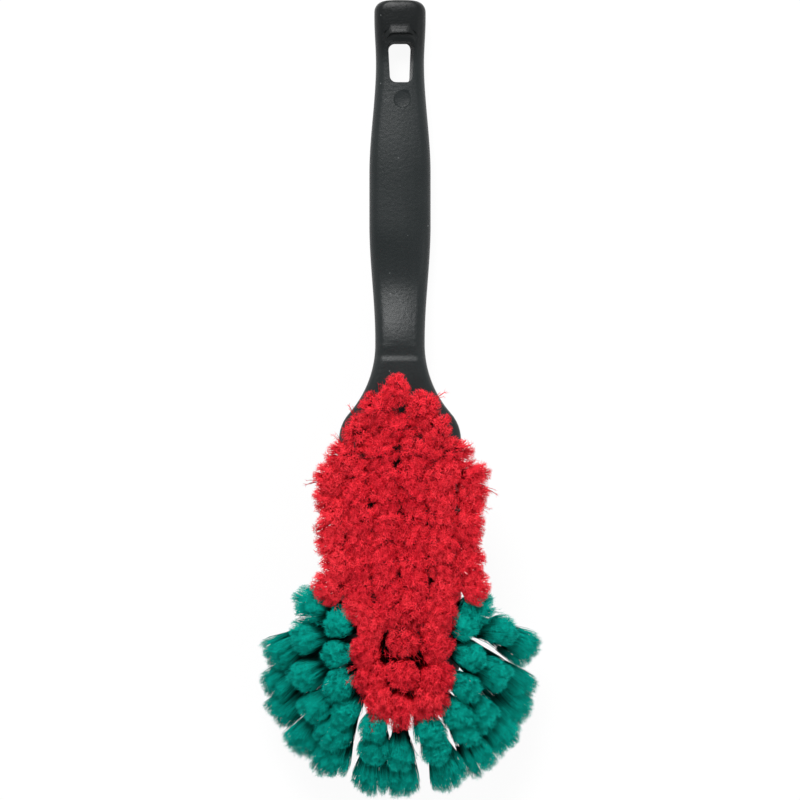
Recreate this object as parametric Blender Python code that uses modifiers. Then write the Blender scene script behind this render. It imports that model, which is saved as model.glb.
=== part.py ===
"""A hand-held washing brush, lying on its back with its bristles up.

One moulding makes the handle and the block. Tufts of bristles stand in blind holes in the
block's face: red ones in rows across it and down the middle of its round nose, green ones
in three rings that fan out round the nose.

The origin is on the flat back, under the centre of the round nose. +Y runs towards the
handle's end, +X to the right as seen from the bristles, and +Z up through the bristles.
"""

import math

import bmesh
import bpy
from mathutils import Vector

MM = 0.001

# Block, measured from the centre of its round nose
BLOCK_WIDTH = 49.2 * MM
BLOCK_HEIGHT = 18.0 * MM
BLOCK_STRAIGHT = 87.0 * MM
SHOULDER_LENGTH = 38.5 * MM
SHOULDER_RADIUS = 16.0 * MM
FACE_EDGE_RADIUS = 2.5 * MM
BACK_EDGE_RADIUS = 3.5 * MM
FACE_CROWN_RADIUS = 150.0 * MM
NOSE_DOME_RADIUS = 42.0 * MM
DOME_LENGTH = 6.0 * MM  # how far back from the nose's centre the dome's sides run
DOME_FADE = 28.0 * MM  # over which they run out into the plain face
FACE_STEP_HEIGHT = 2.6 * MM  # from the neck up to the bristle face
FACE_STEP_LENGTH = 3.0 * MM
FACE_STEP_SETBACK = 2.0 * MM  # from the step's foot to the end of the shoulders

# Handle, measured from the end of the shoulders
HANDLE_LENGTH = 138.9 * MM
NECK_WIDTH = 20.0 * MM
GRIP_WIDTH = 24.8 * MM
WAIST_WIDTH = 19.5 * MM
END_WIDTH = 20.8 * MM
END_CORNER_RADIUS = 4.5 * MM
HOLLOW_THICKNESS = 10.0 * MM  # where the ramp to the neck starts
GRIP_THICKNESS = 13.0 * MM
WAIST_THICKNESS = 9.8 * MM
END_THICKNESS = 10.4 * MM
NECK_LIFT = 3.2 * MM  # of the handle's underside above the block's flat back
GRIP_LIFT = 1.0 * MM
END_LIFT = 2.6 * MM
HANDLE_EDGE_RADIUS = 4.2 * MM
HANDLE_CROWN_RADIUS = 60.0 * MM
END_THINNING_SHARE = 0.24  # of the thickness that the rounded end loses

# Where along the handle each form lies, as shares of its length
NECK_END_SHARE = 0.01
HOLLOW_SHARE = 0.19
GRIP_START_SHARE = 0.345
GRIP_END_SHARE = 0.50
WAIST_SHARE = 0.82
END_SHARE = 0.95

# Hanging slot, with the shallow dish round it
SLOT_LENGTH = 16.4 * MM
SLOT_TOP_WIDTH = 10.4 * MM
SLOT_FOOT_WIDTH = 9.2 * MM
SLOT_CORNER_RADIUS = 2.6 * MM
SLOT_FLARE = 0.8 * MM
SLOT_SHARE = 0.8215  # where its middle lies along the handle
DISH_LENGTH = 24.0 * MM
DISH_WIDTH = 15.6 * MM
DISH_DEPTH = 0.9 * MM
DISH_CORNER_RADIUS = 4.0 * MM
DISH_FLARE = 0.8 * MM

# Shallow round moulding mark below the slot
MARK_DIAMETER = 7.0 * MM
MARK_DEPTH = 0.35 * MM
MARK_SHARE = 0.714

# Tufts: free length above the face, root below it, and the slice of face that joins a row
BRISTLE_LENGTH = 42.0 * MM
ROOT_DIAMETER = 2.2 * MM
ROOT_DEPTH = 5.0 * MM
SLICE_WIDTH = 2.8 * MM
SLICE_THICKNESS = 1.2 * MM
SLICE_MARGIN = 1.6 * MM  # from a row's last tuft to its slice's end
GAP = 0.3 * MM
STRANDS_PER_TUFT = 4
STRAND_ROOT_RADIUS = 0.45 * MM
STRAND_TIP_RADIUS = 1.5 * MM
STRAND_ROOT_OFFSET = 0.8 * MM
STRAND_TIP_OFFSET = 2.7 * MM
TUFT_TURN = math.radians(37.0)  # each tuft's strands are turned by this from the last one's

# Red rows across the face. The first is near the nose and the last on the shoulders.
FIRST_ROW_SHARE = 0.862  # its distance from the nose's centre, as a share of the half width
LAST_ROW_MARGIN = 17.8 * MM  # from the end of the shoulders
# For each row: its number of tufts, how far its outer ones stand from the middle as a share
# of the half width there, and the share of that distance by which they lean outwards
ROW_SHARES = (
    (4, 0.465, 0.50),
    (6, 0.843, 0.34),
    (6, 0.843, 0.34),
    (6, 0.843, 0.34),
    (6, 0.843, 0.34),
    (6, 0.843, 0.34),
    (6, 0.843, 0.34),
    (4, 0.785, 0.33),
    (3, 0.660, 0.18),
    (2, 0.420, 0.22),
    (1, 0.0, 0.0),
)

# Rings of tufts round the nose. For each line of roots, in shares of the block's half width:
# its half width, how far forward of the nose's centre its bend lies, its first tuft's
# distance along it from the front, and the pitch of the rest.
RED_ROOT_SHARES = (0.215, 0.150, 0.290, 0.252)
INNER_ROOT_SHARES = (0.431, 0.057, 0.200, 0.268)
MIDDLE_ROOT_SHARES = (0.646, 0.028, 0.297, 0.297)
OUTER_ROOT_SHARES = (0.866, 0.0, 0.350, 0.350)
# For each line of tips: how far outside its roots it lies as a share of the bristles' length,
# and the other three in shares of its own half width.
RED_TIP_SHARES = (0.227, 0.536, 0.850, 0.707)
INNER_TIP_SHARES = (0.391, 0.147, 0.372, 0.480)
MIDDLE_TIP_SHARES = (0.574, 0.050, 0.350, 0.350)
OUTER_TIP_SHARES = (0.755, 0.0, 0.280, 0.280)

# Red tufts along the middle of the nose: the first one's place ahead of the nose's centre
# and their pitch, as shares of the half width, and how far each one's tip lies ahead of its
# root, as a share of the bristles' length
SPINE_ROOT_SHARES = (0.295, 0.350)
SPINE_LEAN_SHARES = (0.370, 0.200, 0.030)

# Cutters run this far past what they cut
OVERRUN = 2.0 * MM

# Meshes are welded at this distance
WELD = 0.001 * MM

ARC_STEPS = 4
DOME_STEPS = 5
SHOULDER_STEPS = 8
HANDLE_STEPS = 20
NOSE_STEPS = 8
FACE_SHARES = (0.75, 0.5, 0.25, 0.0)
FACE_STEP_SHARES = (1.0, 0.65, 0.35, 0.0)
ROOT_SIDES = 6
STRAND_SIDES = 3
MARK_SIDES = 24

BLACK = (0.030, 0.034, 0.036, 1.0)
RED = (0.620, 0.012, 0.024, 1.0)
GREEN = (0.003, 0.250, 0.200, 1.0)

NECK = BLOCK_STRAIGHT + SHOULDER_LENGTH
HANDLE_END = NECK + HANDLE_LENGTH


class Bend:
    """A U-shaped line: two straight legs joined by a half circle that faces the front.

    Places on it are distances along it from the front, to the right when positive."""

    def __init__(self, half_width, forward):
        self.half_width = half_width
        self.forward = forward

    def at(self, distance):
        quarter = self.half_width * math.pi / 2.0
        if abs(distance) <= quarter:
            turn = distance / self.half_width
            x = self.half_width * math.sin(turn)
            return x, -self.forward - self.half_width * math.cos(turn)
        x = math.copysign(self.half_width, distance)
        return x, abs(distance) - quarter - self.forward


class Ring:
    """Tufts at an even pitch along one Bend, whose tips are at an even pitch along another.

    Their index counts them from the front, to the right when positive, and 0 is at the front."""

    def __init__(self, root_shares, tip_shares):
        half_width, forward, *self.root_places = (
            BLOCK_WIDTH / 2.0 * share for share in root_shares
        )
        self.roots = Bend(half_width, forward)
        half_width += BRISTLE_LENGTH * tip_shares[0]
        forward, *self.tip_places = (half_width * share for share in tip_shares[1:])
        self.tips = Bend(half_width, forward)

    def distance(self, places, index):
        if index == 0:
            return 0.0
        return math.copysign(places[0] + places[1] * (abs(index) - 1), index)

    def root_distance(self, index):
        """How far along the roots' line the tuft of this index stands."""
        return self.distance(self.root_places, index)

    def tuft(self, index):
        """Where the tuft of this index has its root and its tip."""
        root = self.roots.at(self.root_distance(index))
        tip = self.tips.at(self.distance(self.tip_places, index))
        return root, tip


def ease(share):
    """A smooth step from 0 to 1, level at both ends."""
    share = min(max(share, 0.0), 1.0)
    return share * share * (3.0 - 2.0 * share)


def profile(keys, y):
    """The value at y of a line that eases from each key's value to the next one's."""
    for (start, value), (end, following) in zip(keys, keys[1:]):
        if y <= end:
            return value + (following - value) * ease((y - start) / (end - start))
    return keys[-1][1]


def handle_at(share):
    return NECK + HANDLE_LENGTH * share


def shoulder_half_width(y):
    """Two arcs that meet smoothly, from the block's full width to the neck's."""
    drop = (BLOCK_WIDTH - NECK_WIDTH) / 2.0
    turn = 2.0 * math.atan2(drop, SHOULDER_LENGTH)
    shoulder = min(SHOULDER_RADIUS, SHOULDER_LENGTH / math.sin(turn) / 2.0)
    flare = SHOULDER_LENGTH / math.sin(turn) - shoulder
    along = y - BLOCK_STRAIGHT
    if along < shoulder * math.sin(turn):
        return BLOCK_WIDTH / 2.0 - shoulder + math.sqrt(shoulder**2 - along**2)
    left = SHOULDER_LENGTH - along
    return NECK_WIDTH / 2.0 + flare - math.sqrt(flare**2 - left**2)


def half_width(y):
    if y <= BLOCK_STRAIGHT:
        return BLOCK_WIDTH / 2.0
    if y < NECK:
        return shoulder_half_width(y)
    keys = (
        (handle_at(NECK_END_SHARE), NECK_WIDTH / 2.0),
        (handle_at(GRIP_START_SHARE), GRIP_WIDTH / 2.0),
        (handle_at(GRIP_END_SHARE), GRIP_WIDTH / 2.0),
        (handle_at(WAIST_SHARE), WAIST_WIDTH / 2.0),
        (handle_at(END_SHARE), END_WIDTH / 2.0),
    )
    width = profile(keys, y)
    corner = y - (HANDLE_END - END_CORNER_RADIUS)
    if corner > 0:
        corner = min(corner, END_CORNER_RADIUS)
        width += math.sqrt(END_CORNER_RADIUS**2 - corner**2) - END_CORNER_RADIUS
    return width


def back_height(y):
    """Height of the underside: the block's back is flat and the handle's is lifted."""
    keys = (
        (BLOCK_STRAIGHT + SHOULDER_LENGTH / 2.0, 0.0),
        (handle_at(NECK_END_SHARE), NECK_LIFT),
        (handle_at(GRIP_START_SHARE), GRIP_LIFT),
        (handle_at(GRIP_END_SHARE), GRIP_LIFT),
        (handle_at(END_SHARE), END_LIFT),
    )
    return profile(keys, y)


def face_height(y):
    """Height of the top along its middle, before the rounding of the handle's end."""
    step_foot = NECK - FACE_STEP_SETBACK
    hollow = handle_at(HOLLOW_SHARE)
    grip_start = handle_at(GRIP_START_SHARE)
    grip_end = handle_at(GRIP_END_SHARE)
    waist = handle_at(WAIST_SHARE)
    end = handle_at(END_SHARE)
    keys = (
        (step_foot - FACE_STEP_LENGTH, BLOCK_HEIGHT),
        (step_foot, BLOCK_HEIGHT - FACE_STEP_HEIGHT),
        (hollow, back_height(hollow) + HOLLOW_THICKNESS),
        (grip_start, GRIP_LIFT + GRIP_THICKNESS),
        (grip_end, GRIP_LIFT + GRIP_THICKNESS),
        (waist, back_height(waist) + WAIST_THICKNESS),
        (end, END_LIFT + END_THICKNESS),
    )
    return profile(keys, y)


def sagitta(radius, offset):
    return radius - math.sqrt(radius**2 - offset**2)


def face_drop(offset, y):
    """How far the face lies below its middle line at this offset from it."""
    if y >= NECK:
        return sagitta(HANDLE_CROWN_RADIUS, offset)
    plain = sagitta(FACE_CROWN_RADIUS, offset)
    dome = sagitta(NOSE_DOME_RADIUS, offset)
    return dome + (plain - dome) * ease((y - DOME_LENGTH) / DOME_FADE)


def face_point(x, y):
    """The point of the block's face above this place."""
    offset = math.hypot(x, y) if y < 0 else abs(x)
    drop = face_drop(offset, max(y, 0.0))
    return Vector((x, y, face_height(max(y, 0.0)) - drop))


def face_normal(x, y):
    reach = SLICE_WIDTH / 2.0
    across = face_point(x + reach, y) - face_point(x - reach, y)
    along = face_point(x, y + reach) - face_point(x, y - reach)
    return across.cross(along).normalized()


def half_section(y):
    """Offsets and heights round the right half of a section, from its back to its face."""
    width = half_width(y)
    back = back_height(y)
    top = face_height(y)
    thinning = 0.0
    corner = y - (HANDLE_END - END_CORNER_RADIUS)
    if corner > 0:
        turned = sagitta(END_CORNER_RADIUS, min(corner, END_CORNER_RADIUS))
        thinning = (top - back) * END_THINNING_SHARE * turned / END_CORNER_RADIUS / 2.0
    back += thinning
    top -= thinning
    handle_share = ease((y - BLOCK_STRAIGHT) / SHOULDER_LENGTH)
    back_radius = BACK_EDGE_RADIUS + (HANDLE_EDGE_RADIUS - BACK_EDGE_RADIUS) * handle_share
    face_radius = FACE_EDGE_RADIUS + (HANDLE_EDGE_RADIUS - FACE_EDGE_RADIUS) * handle_share
    inner = width - face_radius
    slope = math.atan2(face_drop(width, y) - face_drop(inner, y), face_radius)
    turn = math.pi / 2.0 - slope
    edge = inner + face_radius * math.cos(turn)
    edge_height = top - face_drop(edge, y) - face_radius * math.sin(turn)
    points = [(0.0, back)]
    for step in range(ARC_STEPS + 1):
        angle = math.pi / 2.0 * (step / ARC_STEPS - 1.0)
        offset = width - back_radius + back_radius * math.cos(angle)
        points.append((offset, back + back_radius + back_radius * math.sin(angle)))
    for step in range(ARC_STEPS + 1):
        angle = turn * step / ARC_STEPS
        offset = inner + face_radius * math.cos(angle)
        points.append((offset, edge_height + face_radius * math.sin(angle)))
    for share in FACE_SHARES:
        points.append((edge * share, top - face_drop(edge * share, y)))
    return points


def section_places():
    """Where along Y the moulding has a section, from the handle's end to the nose's centre."""
    places = [0.0]
    places += [DOME_LENGTH + DOME_FADE * step / DOME_STEPS for step in range(DOME_STEPS + 1)]
    for step in range(SHOULDER_STEPS):
        places.append(BLOCK_STRAIGHT + SHOULDER_LENGTH * step / SHOULDER_STEPS)
    step_foot = NECK - FACE_STEP_SETBACK
    places += [step_foot - FACE_STEP_LENGTH * share for share in FACE_STEP_SHARES]
    corner = HANDLE_END - END_CORNER_RADIUS
    places += [handle_at(step / HANDLE_STEPS) for step in range(HANDLE_STEPS)]
    places = [place for place in places if place < corner]
    for step in range(ARC_STEPS + 1):
        places.append(corner + END_CORNER_RADIUS * math.sin(math.pi / 2.0 * step / ARC_STEPS))
    return sorted(set(places), reverse=True)


def new_object(name, bm, collection):
    """An object of triangles, so that a Boolean finds every face flat."""
    bmesh.ops.remove_doubles(bm, verts=bm.verts, dist=WELD)
    bmesh.ops.recalc_face_normals(bm, faces=bm.faces)
    bmesh.ops.triangulate(bm, faces=bm.faces)
    mesh = bpy.data.meshes.new(name)
    bm.to_mesh(mesh)
    bm.free()
    made = bpy.data.objects.new(name, mesh)
    collection.objects.link(made)
    return made


def new_cutter(name, bm, collection):
    cutter = new_object(name, bm, collection)
    cutter.hide_render = True
    cutter.display_type = "WIRE"
    return cutter


def skin(bm, rings):
    """Joins each ring of points to the next with quads and returns the rings' vertices."""
    rows = [[bm.verts.new(point) for point in ring] for ring in rings]
    for row, following in zip(rows, rows[1:]):
        for index in range(len(row) - 1):
            corners = (row[index], row[index + 1], following[index + 1], following[index])
            bm.faces.new(corners)
    return rows


def moulding_half():
    """The right half of the handle and block, open along its middle plane."""
    rings = []
    for y in section_places():
        rings.append([Vector((offset, y, z)) for offset, z in half_section(y)])
    nose = half_section(0.0)
    for step in range(1, NOSE_STEPS + 1):
        turn = math.pi / 2.0 * step / NOSE_STEPS
        ring = []
        for offset, z in nose:
            ring.append(Vector((offset * math.cos(turn), -offset * math.sin(turn), z)))
        rings.append(ring)
    bm = bmesh.new()
    rows = skin(bm, rings)
    bm.faces.new(rows[0])
    bmesh.ops.remove_doubles(bm, verts=bm.verts, dist=WELD)
    bmesh.ops.dissolve_degenerate(bm, edges=bm.edges, dist=WELD)
    return bm


def rounded_outline(length, top_width, foot_width, radius, centre_y):
    """Points round a tapered slot with rounded corners, wider towards the handle's end."""
    corners = (
        (top_width / 2.0, length / 2.0),
        (-top_width / 2.0, length / 2.0),
        (-foot_width / 2.0, -length / 2.0),
        (foot_width / 2.0, -length / 2.0),
    )
    points = []
    for quarter, (x, y) in enumerate(corners):
        middle_x = x - math.copysign(radius, x)
        middle_y = y - math.copysign(radius, y)
        for step in range(ARC_STEPS + 1):
            angle = math.pi / 2.0 * (quarter + step / ARC_STEPS)
            turned_x = middle_x + radius * math.cos(angle)
            turned_y = middle_y + radius * math.sin(angle)
            points.append((turned_x, centre_y + turned_y))
    return points


def stacked_outlines(levels):
    """A closed solid between outlines, each given with its height from the bottom up."""
    bm = bmesh.new()
    rows = [[bm.verts.new((x, y, z)) for x, y in outline] for outline, z in levels]
    for row, following in zip(rows, rows[1:]):
        for index in range(len(row)):
            ahead = (index + 1) % len(row)
            bm.faces.new((row[index], row[ahead], following[ahead], following[index]))
    bm.faces.new(rows[0])
    bm.faces.new(rows[-1])
    return bm


def slot_level(margin, height, centre):
    outline = rounded_outline(
        SLOT_LENGTH + 2.0 * margin,
        SLOT_TOP_WIDTH + 2.0 * margin,
        SLOT_FOOT_WIDTH + 2.0 * margin,
        SLOT_CORNER_RADIUS + margin,
        centre,
    )
    return outline, height


def slot_cutter(collection):
    """The hanging slot, flared at both faces."""
    centre = handle_at(SLOT_SHARE)
    back = back_height(centre)
    top = face_height(centre) - DISH_DEPTH
    levels = [
        slot_level(SLOT_FLARE + OVERRUN, back - OVERRUN, centre),
        slot_level(SLOT_FLARE, back, centre),
        slot_level(0.0, back + SLOT_FLARE, centre),
        slot_level(0.0, top - SLOT_FLARE, centre),
        slot_level(SLOT_FLARE, top, centre),
        slot_level(SLOT_FLARE + OVERRUN, top + OVERRUN, centre),
    ]
    return new_cutter("slot_cutter", stacked_outlines(levels), collection)


def dish_cutter(collection):
    """The shallow dish round the slot, with a sloping rim."""
    centre = handle_at(SLOT_SHARE)
    top = face_height(centre)
    levels = []
    for margin, height in ((0.0, top - DISH_DEPTH), (DISH_FLARE + OVERRUN, top + OVERRUN)):
        outline = rounded_outline(
            DISH_LENGTH + 2.0 * margin,
            DISH_WIDTH + 2.0 * margin,
            DISH_WIDTH + 2.0 * margin,
            DISH_CORNER_RADIUS + margin,
            centre,
        )
        levels.append((outline, height))
    return new_cutter("dish_cutter", stacked_outlines(levels), collection)


def mark_cutter(collection):
    place = handle_at(MARK_SHARE)
    floor = face_height(place) - MARK_DEPTH
    bm = bmesh.new()
    bmesh.ops.create_cone(
        bm,
        cap_ends=True,
        segments=MARK_SIDES,
        radius1=MARK_DIAMETER / 2.0,
        radius2=MARK_DIAMETER / 2.0,
        depth=OVERRUN,
    )
    bmesh.ops.translate(bm, verts=bm.verts, vec=(0.0, place, floor + OVERRUN / 2.0))
    return new_cutter("mark_cutter", bm, collection)


def add_rod(bm, start, end, radii, sides):
    """Adds a straight rod of this many sides between two points."""
    matrix = (end - start).to_track_quat("Z", "Y").to_matrix().to_4x4()
    matrix.translation = (start + end) / 2.0
    bmesh.ops.create_cone(
        bm,
        cap_ends=True,
        segments=sides,
        radius1=radii[0],
        radius2=radii[1],
        depth=(end - start).length,
        matrix=matrix,
    )


class Tuft:
    """One tuft: where it stands on the face, square to it, and which way it leans."""

    def __init__(self, root, tip):
        self.place = root
        self.foot = face_point(*root)
        lean = Vector((tip[0] - root[0], tip[1] - root[1], 0.0))
        rise = math.sqrt(max(BRISTLE_LENGTH**2 - lean.length_squared, 0.0))
        self.direction = (lean + Vector((0.0, 0.0, rise))).normalized()
        self.normal = face_normal(*root)

    def add_root(self, bm, top, depth, radius):
        """Adds the root, from top above the face to depth below it."""
        start = self.foot - self.normal * depth
        end = self.foot + self.normal * top
        add_rod(bm, start, end, (radius, radius), ROOT_SIDES)

    def add_strands(self, bm, turn):
        """Adds strands that start inside the slice and spread towards their tips."""
        side = self.direction.orthogonal().normalized()
        other = self.direction.cross(side)
        foot = self.foot - self.direction * SLICE_THICKNESS / 2.0
        tip = self.foot + self.direction * BRISTLE_LENGTH
        for strand in range(STRANDS_PER_TUFT):
            angle = turn + 2.0 * math.pi * strand / STRANDS_PER_TUFT
            outward = side * math.cos(angle) + other * math.sin(angle)
            start = foot + outward * STRAND_ROOT_OFFSET
            end = tip + outward * STRAND_TIP_OFFSET
            add_rod(bm, start, end, (STRAND_ROOT_RADIUS, STRAND_TIP_RADIUS), STRAND_SIDES)


class Row:
    """Tufts that share a slice of the face, and the line that the slice follows."""

    def __init__(self, name, colour, tufts, line):
        self.name = name
        self.colour = colour
        self.tufts = tufts
        self.line = line

    def add_slice(self, bm, width, top, bottom, lengthening):
        """Adds a band along the line, from top above the face to bottom below it."""
        places = [Vector(place) for place in self.line]
        ends = (places[0] - places[1]).normalized(), (places[-1] - places[-2]).normalized()
        places[0] += ends[0] * lengthening
        places[-1] += ends[1] * lengthening
        rings = []
        for index, place in enumerate(places):
            before = places[max(index - 1, 0)]
            after = places[min(index + 1, len(places) - 1)]
            normal = face_normal(place.x, place.y)
            along = face_point(after.x, after.y) - face_point(before.x, before.y)
            side = normal.cross(along).normalized() * width / 2.0
            middle = face_point(place.x, place.y)
            high = middle + normal * top
            low = middle - normal * bottom
            rings.append((high + side, high - side, low - side, low + side, high + side))
        rows = skin(bm, rings)
        bm.faces.new(rows[0][:4])
        bm.faces.new(rows[-1][:4])


def straight_line(start, end, pieces):
    """Evenly spaced places from start to end."""
    line = []
    for step in range(pieces + 1):
        share = step / pieces
        line.append(tuple(a + (b - a) * share for a, b in zip(start, end)))
    return line


def cross_rows():
    """The red rows across the face, the first one next to the nose."""
    rows = []
    first_row = BLOCK_WIDTH / 2.0 * FIRST_ROW_SHARE
    pitch = (NECK - LAST_ROW_MARGIN - first_row) / (len(ROW_SHARES) - 1)
    for index, (count, reach_share, lean_share) in enumerate(ROW_SHARES):
        y = first_row + pitch * index
        reach = half_width(y) * reach_share
        tufts = []
        for column in range(count):
            x = reach * (2.0 * column / max(count - 1, 1) - 1.0)
            tufts.append(Tuft((x, y), (x * (1.0 + lean_share), y)))
        end = reach + SLICE_MARGIN
        line = straight_line((-end, y), (end, y), max(count, 2))
        rows.append(Row(f"red_row_{index + 1:02d}", "red", tufts, line))
    return rows


def spine_row():
    """The red tufts along the middle of the nose."""
    start, pitch = (BLOCK_WIDTH / 2.0 * share for share in SPINE_ROOT_SHARES)
    tufts = []
    for index, lean_share in enumerate(SPINE_LEAN_SHARES):
        y = pitch * index - start
        tufts.append(Tuft((0.0, y), (0.0, y - BRISTLE_LENGTH * lean_share)))
    first = (0.0, tufts[0].place[1] - SLICE_MARGIN)
    last = (0.0, tufts[-1].place[1] + SLICE_MARGIN)
    line = straight_line(first, last, len(tufts))
    return Row("red_nose_middle", "red", tufts, line)


def ring_row(name, colour, ring, indices):
    """The tufts of a ring between two indices, and the arc of the ring that joins them."""
    tufts = [Tuft(*ring.tuft(index)) for index in indices]
    first = ring.root_distance(indices[0]) - SLICE_MARGIN
    last = ring.root_distance(indices[-1]) + SLICE_MARGIN
    pieces = 2 * len(indices)
    line = []
    for step in range(pieces + 1):
        line.append(ring.roots.at(first + (last - first) * step / pieces))
    return Row(name, colour, tufts, line)


def nose_rows():
    """The red tufts in the middle of the nose and the three green rings round them."""
    red = Ring(RED_ROOT_SHARES, RED_TIP_SHARES)
    inner = Ring(INNER_ROOT_SHARES, INNER_TIP_SHARES)
    middle = Ring(MIDDLE_ROOT_SHARES, MIDDLE_TIP_SHARES)
    outer = Ring(OUTER_ROOT_SHARES, OUTER_TIP_SHARES)
    rows = [spine_row()]
    rows.append(ring_row("red_nose_left", "red", red, (-4, -3, -2, -1)))
    rows.append(ring_row("red_nose_right", "red", red, (1, 2, 3, 4)))
    rows.append(ring_row("green_inner_left", "green", inner, (-5, -4, -3, -2)))
    rows.append(ring_row("green_inner_front", "green", inner, (-1, 1)))
    rows.append(ring_row("green_inner_right", "green", inner, (2, 3, 4, 5)))
    for place, ring in (("middle", middle), ("outer", outer)):
        rows.append(ring_row(f"green_{place}_left", "green", ring, (-6, -5, -4, -3)))
        rows.append(ring_row(f"green_{place}_front", "green", ring, (-2, -1, 0, 1, 2)))
        rows.append(ring_row(f"green_{place}_right", "green", ring, (3, 4, 5, 6)))
    return rows


def new_material(name, colour, roughness):
    material = bpy.data.materials.new(name)
    material.use_nodes = True
    shader = material.node_tree.nodes["Principled BSDF"]
    shader.inputs["Base Color"].default_value = colour
    shader.inputs["Roughness"].default_value = roughness
    shader.inputs["Metallic"].default_value = 0.0
    return material


def new_collection(name):
    collection = bpy.data.collections.new(name)
    bpy.context.scene.collection.children.link(collection)
    return collection


def add_boolean(target, operand, operation):
    modifier = target.modifiers.new(operand.name, "BOOLEAN")
    modifier.object = operand
    modifier.operation = operation
    modifier.solver = "EXACT"


def build_moulding(rows, parts, helpers, material):
    """The handle and block, with a groove for each slice and a blind hole for each root."""
    moulding = new_object("handle_block", moulding_half(), parts)
    mirror = moulding.modifiers.new("Mirror", "MIRROR")
    mirror.use_axis = (True, False, False)
    mirror.use_clip = True
    mirror.merge_threshold = WELD
    moulding.data.materials.append(material)
    moulding.data.shade_smooth()
    moulding.data.set_sharp_from_angle(angle=math.radians(30.0))

    grooves = bmesh.new()
    holes = bmesh.new()
    for row in rows:
        groove_depth = SLICE_THICKNESS + GAP
        row.add_slice(grooves, SLICE_WIDTH + 2.0 * GAP, OVERRUN, groove_depth, GAP)
        for tuft in row.tufts:
            tuft.add_root(holes, -SLICE_THICKNESS / 2.0, ROOT_DEPTH + GAP, ROOT_DIAMETER / 2.0 + GAP)
    cutters = [
        dish_cutter(helpers),
        slot_cutter(helpers),
        mark_cutter(helpers),
        new_cutter("groove_cutter", grooves, helpers),
        new_cutter("hole_cutter", holes, helpers),
    ]
    for cutter in cutters:
        add_boolean(moulding, cutter, "DIFFERENCE")
    return moulding


def build_row(row, parts, helpers, material):
    """The strands of a row's tufts and their roots, joined by the row's slice of the face."""
    band = bmesh.new()
    row.add_slice(band, SLICE_WIDTH, 0.0, SLICE_THICKNESS, 0.0)
    made = new_object(row.name, band, parts)
    made.data.materials.append(material)
    roots = bmesh.new()
    strands = bmesh.new()
    for index, tuft in enumerate(row.tufts):
        tuft.add_root(roots, -SLICE_THICKNESS / 2.0, ROOT_DEPTH, ROOT_DIAMETER / 2.0)
        tuft.add_strands(strands, TUFT_TURN * index)
    for name, bm in (("roots", roots), ("strands", strands)):
        add_boolean(made, new_cutter(f"{row.name}_{name}", bm, helpers), "UNION")
    return made


def main():
    for old in list(bpy.data.objects):
        bpy.data.objects.remove(old, do_unlink=True)
    parts = new_collection("washing_brush")
    helpers = new_collection("cutters")
    black = new_material("black_plastic", BLACK, 0.5)
    bristles = {
        "red": new_material("red_bristles", RED, 0.6),
        "green": new_material("green_bristles", GREEN, 0.6),
    }
    rows = cross_rows() + nose_rows()
    build_moulding(rows, parts, helpers, black)
    for row in rows:
        build_row(row, parts, helpers, bristles[row.colour])


main()
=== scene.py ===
"""A hand-held washing brush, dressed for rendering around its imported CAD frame.

The black moulding is one lofted shell with a spun nose, a hanging slot in a shallow dish, a
round moulding mark and a blind hole for each tuft. Every row of tufts is planted with copies
of one filament whose end is split into fine hairs, so that the tips stand as soft pads.

All lengths are in metres, in the frame of the CAD: the origin is on the flat back under the
centre of the round nose, +Y runs towards the handle's end and +Z up through the bristles.
"""

from __future__ import annotations

import logging
import math
from dataclasses import dataclass, field
from enum import Enum
from typing import Iterable, Sequence

import bmesh
import bpy
import numpy as np
from mathutils import Matrix, Vector

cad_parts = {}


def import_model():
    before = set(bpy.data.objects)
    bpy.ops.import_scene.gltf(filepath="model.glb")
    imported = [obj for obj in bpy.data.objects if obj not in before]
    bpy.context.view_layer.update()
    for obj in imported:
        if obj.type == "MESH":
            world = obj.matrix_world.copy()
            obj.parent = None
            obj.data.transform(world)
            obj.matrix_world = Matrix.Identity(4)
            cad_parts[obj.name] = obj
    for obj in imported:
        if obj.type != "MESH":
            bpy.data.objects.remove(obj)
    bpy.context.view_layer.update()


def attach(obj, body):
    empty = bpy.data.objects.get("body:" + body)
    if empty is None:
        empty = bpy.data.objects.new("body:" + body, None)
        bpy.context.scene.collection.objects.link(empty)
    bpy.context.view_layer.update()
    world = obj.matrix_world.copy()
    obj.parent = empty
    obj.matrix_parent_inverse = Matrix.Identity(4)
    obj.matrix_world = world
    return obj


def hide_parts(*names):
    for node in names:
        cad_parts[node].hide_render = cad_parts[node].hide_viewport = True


LOG = logging.getLogger("washing_brush")
MM = 0.001
BRISTLE_MAP = "OFBake"
SHADER = "Principled BSDF"
ANY_TURN = 6.28  # the most that a random turn can be, in radians
TINY = 1e-9  # keeps a division by a length off zero
LEVEL = 1e-6  # how far apart two heights of the filament may be and count as one

Point = tuple[float, float]
Triple = tuple[float, float, float]
Outline = Sequence[Vector]
Keys = Sequence[tuple[float, float]]


class Finish(Enum):
    """The finishes of the brush, by the names of the record's material slots."""

    BLACK = "black_plastic"
    RED = "red_bristles"
    GREEN = "green_bristles"


class Ends(Enum):
    """Which ends of a loft are closed with a flat face."""

    FIRST = 1
    BOTH = 2


class Join(Enum):
    """What a tool does to a piece."""

    CUT = "DIFFERENCE"
    ADD = "UNION"


# ---- Lines and curves ----


def ease(share: float) -> float:
    """A smooth step from 0 to 1 that is level at both ends.

    Args:
        share: How far along the step, 0 at its start and 1 at its end.

    Returns:
        The height of the step there.
    """
    share = min(max(share, 0.0), 1.0)
    return share * share * (3.0 - 2.0 * share)


def between(first: float, second: float, share: float) -> float:
    """The value at this share of the way from the first to the second."""
    return first + (second - first) * share


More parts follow.
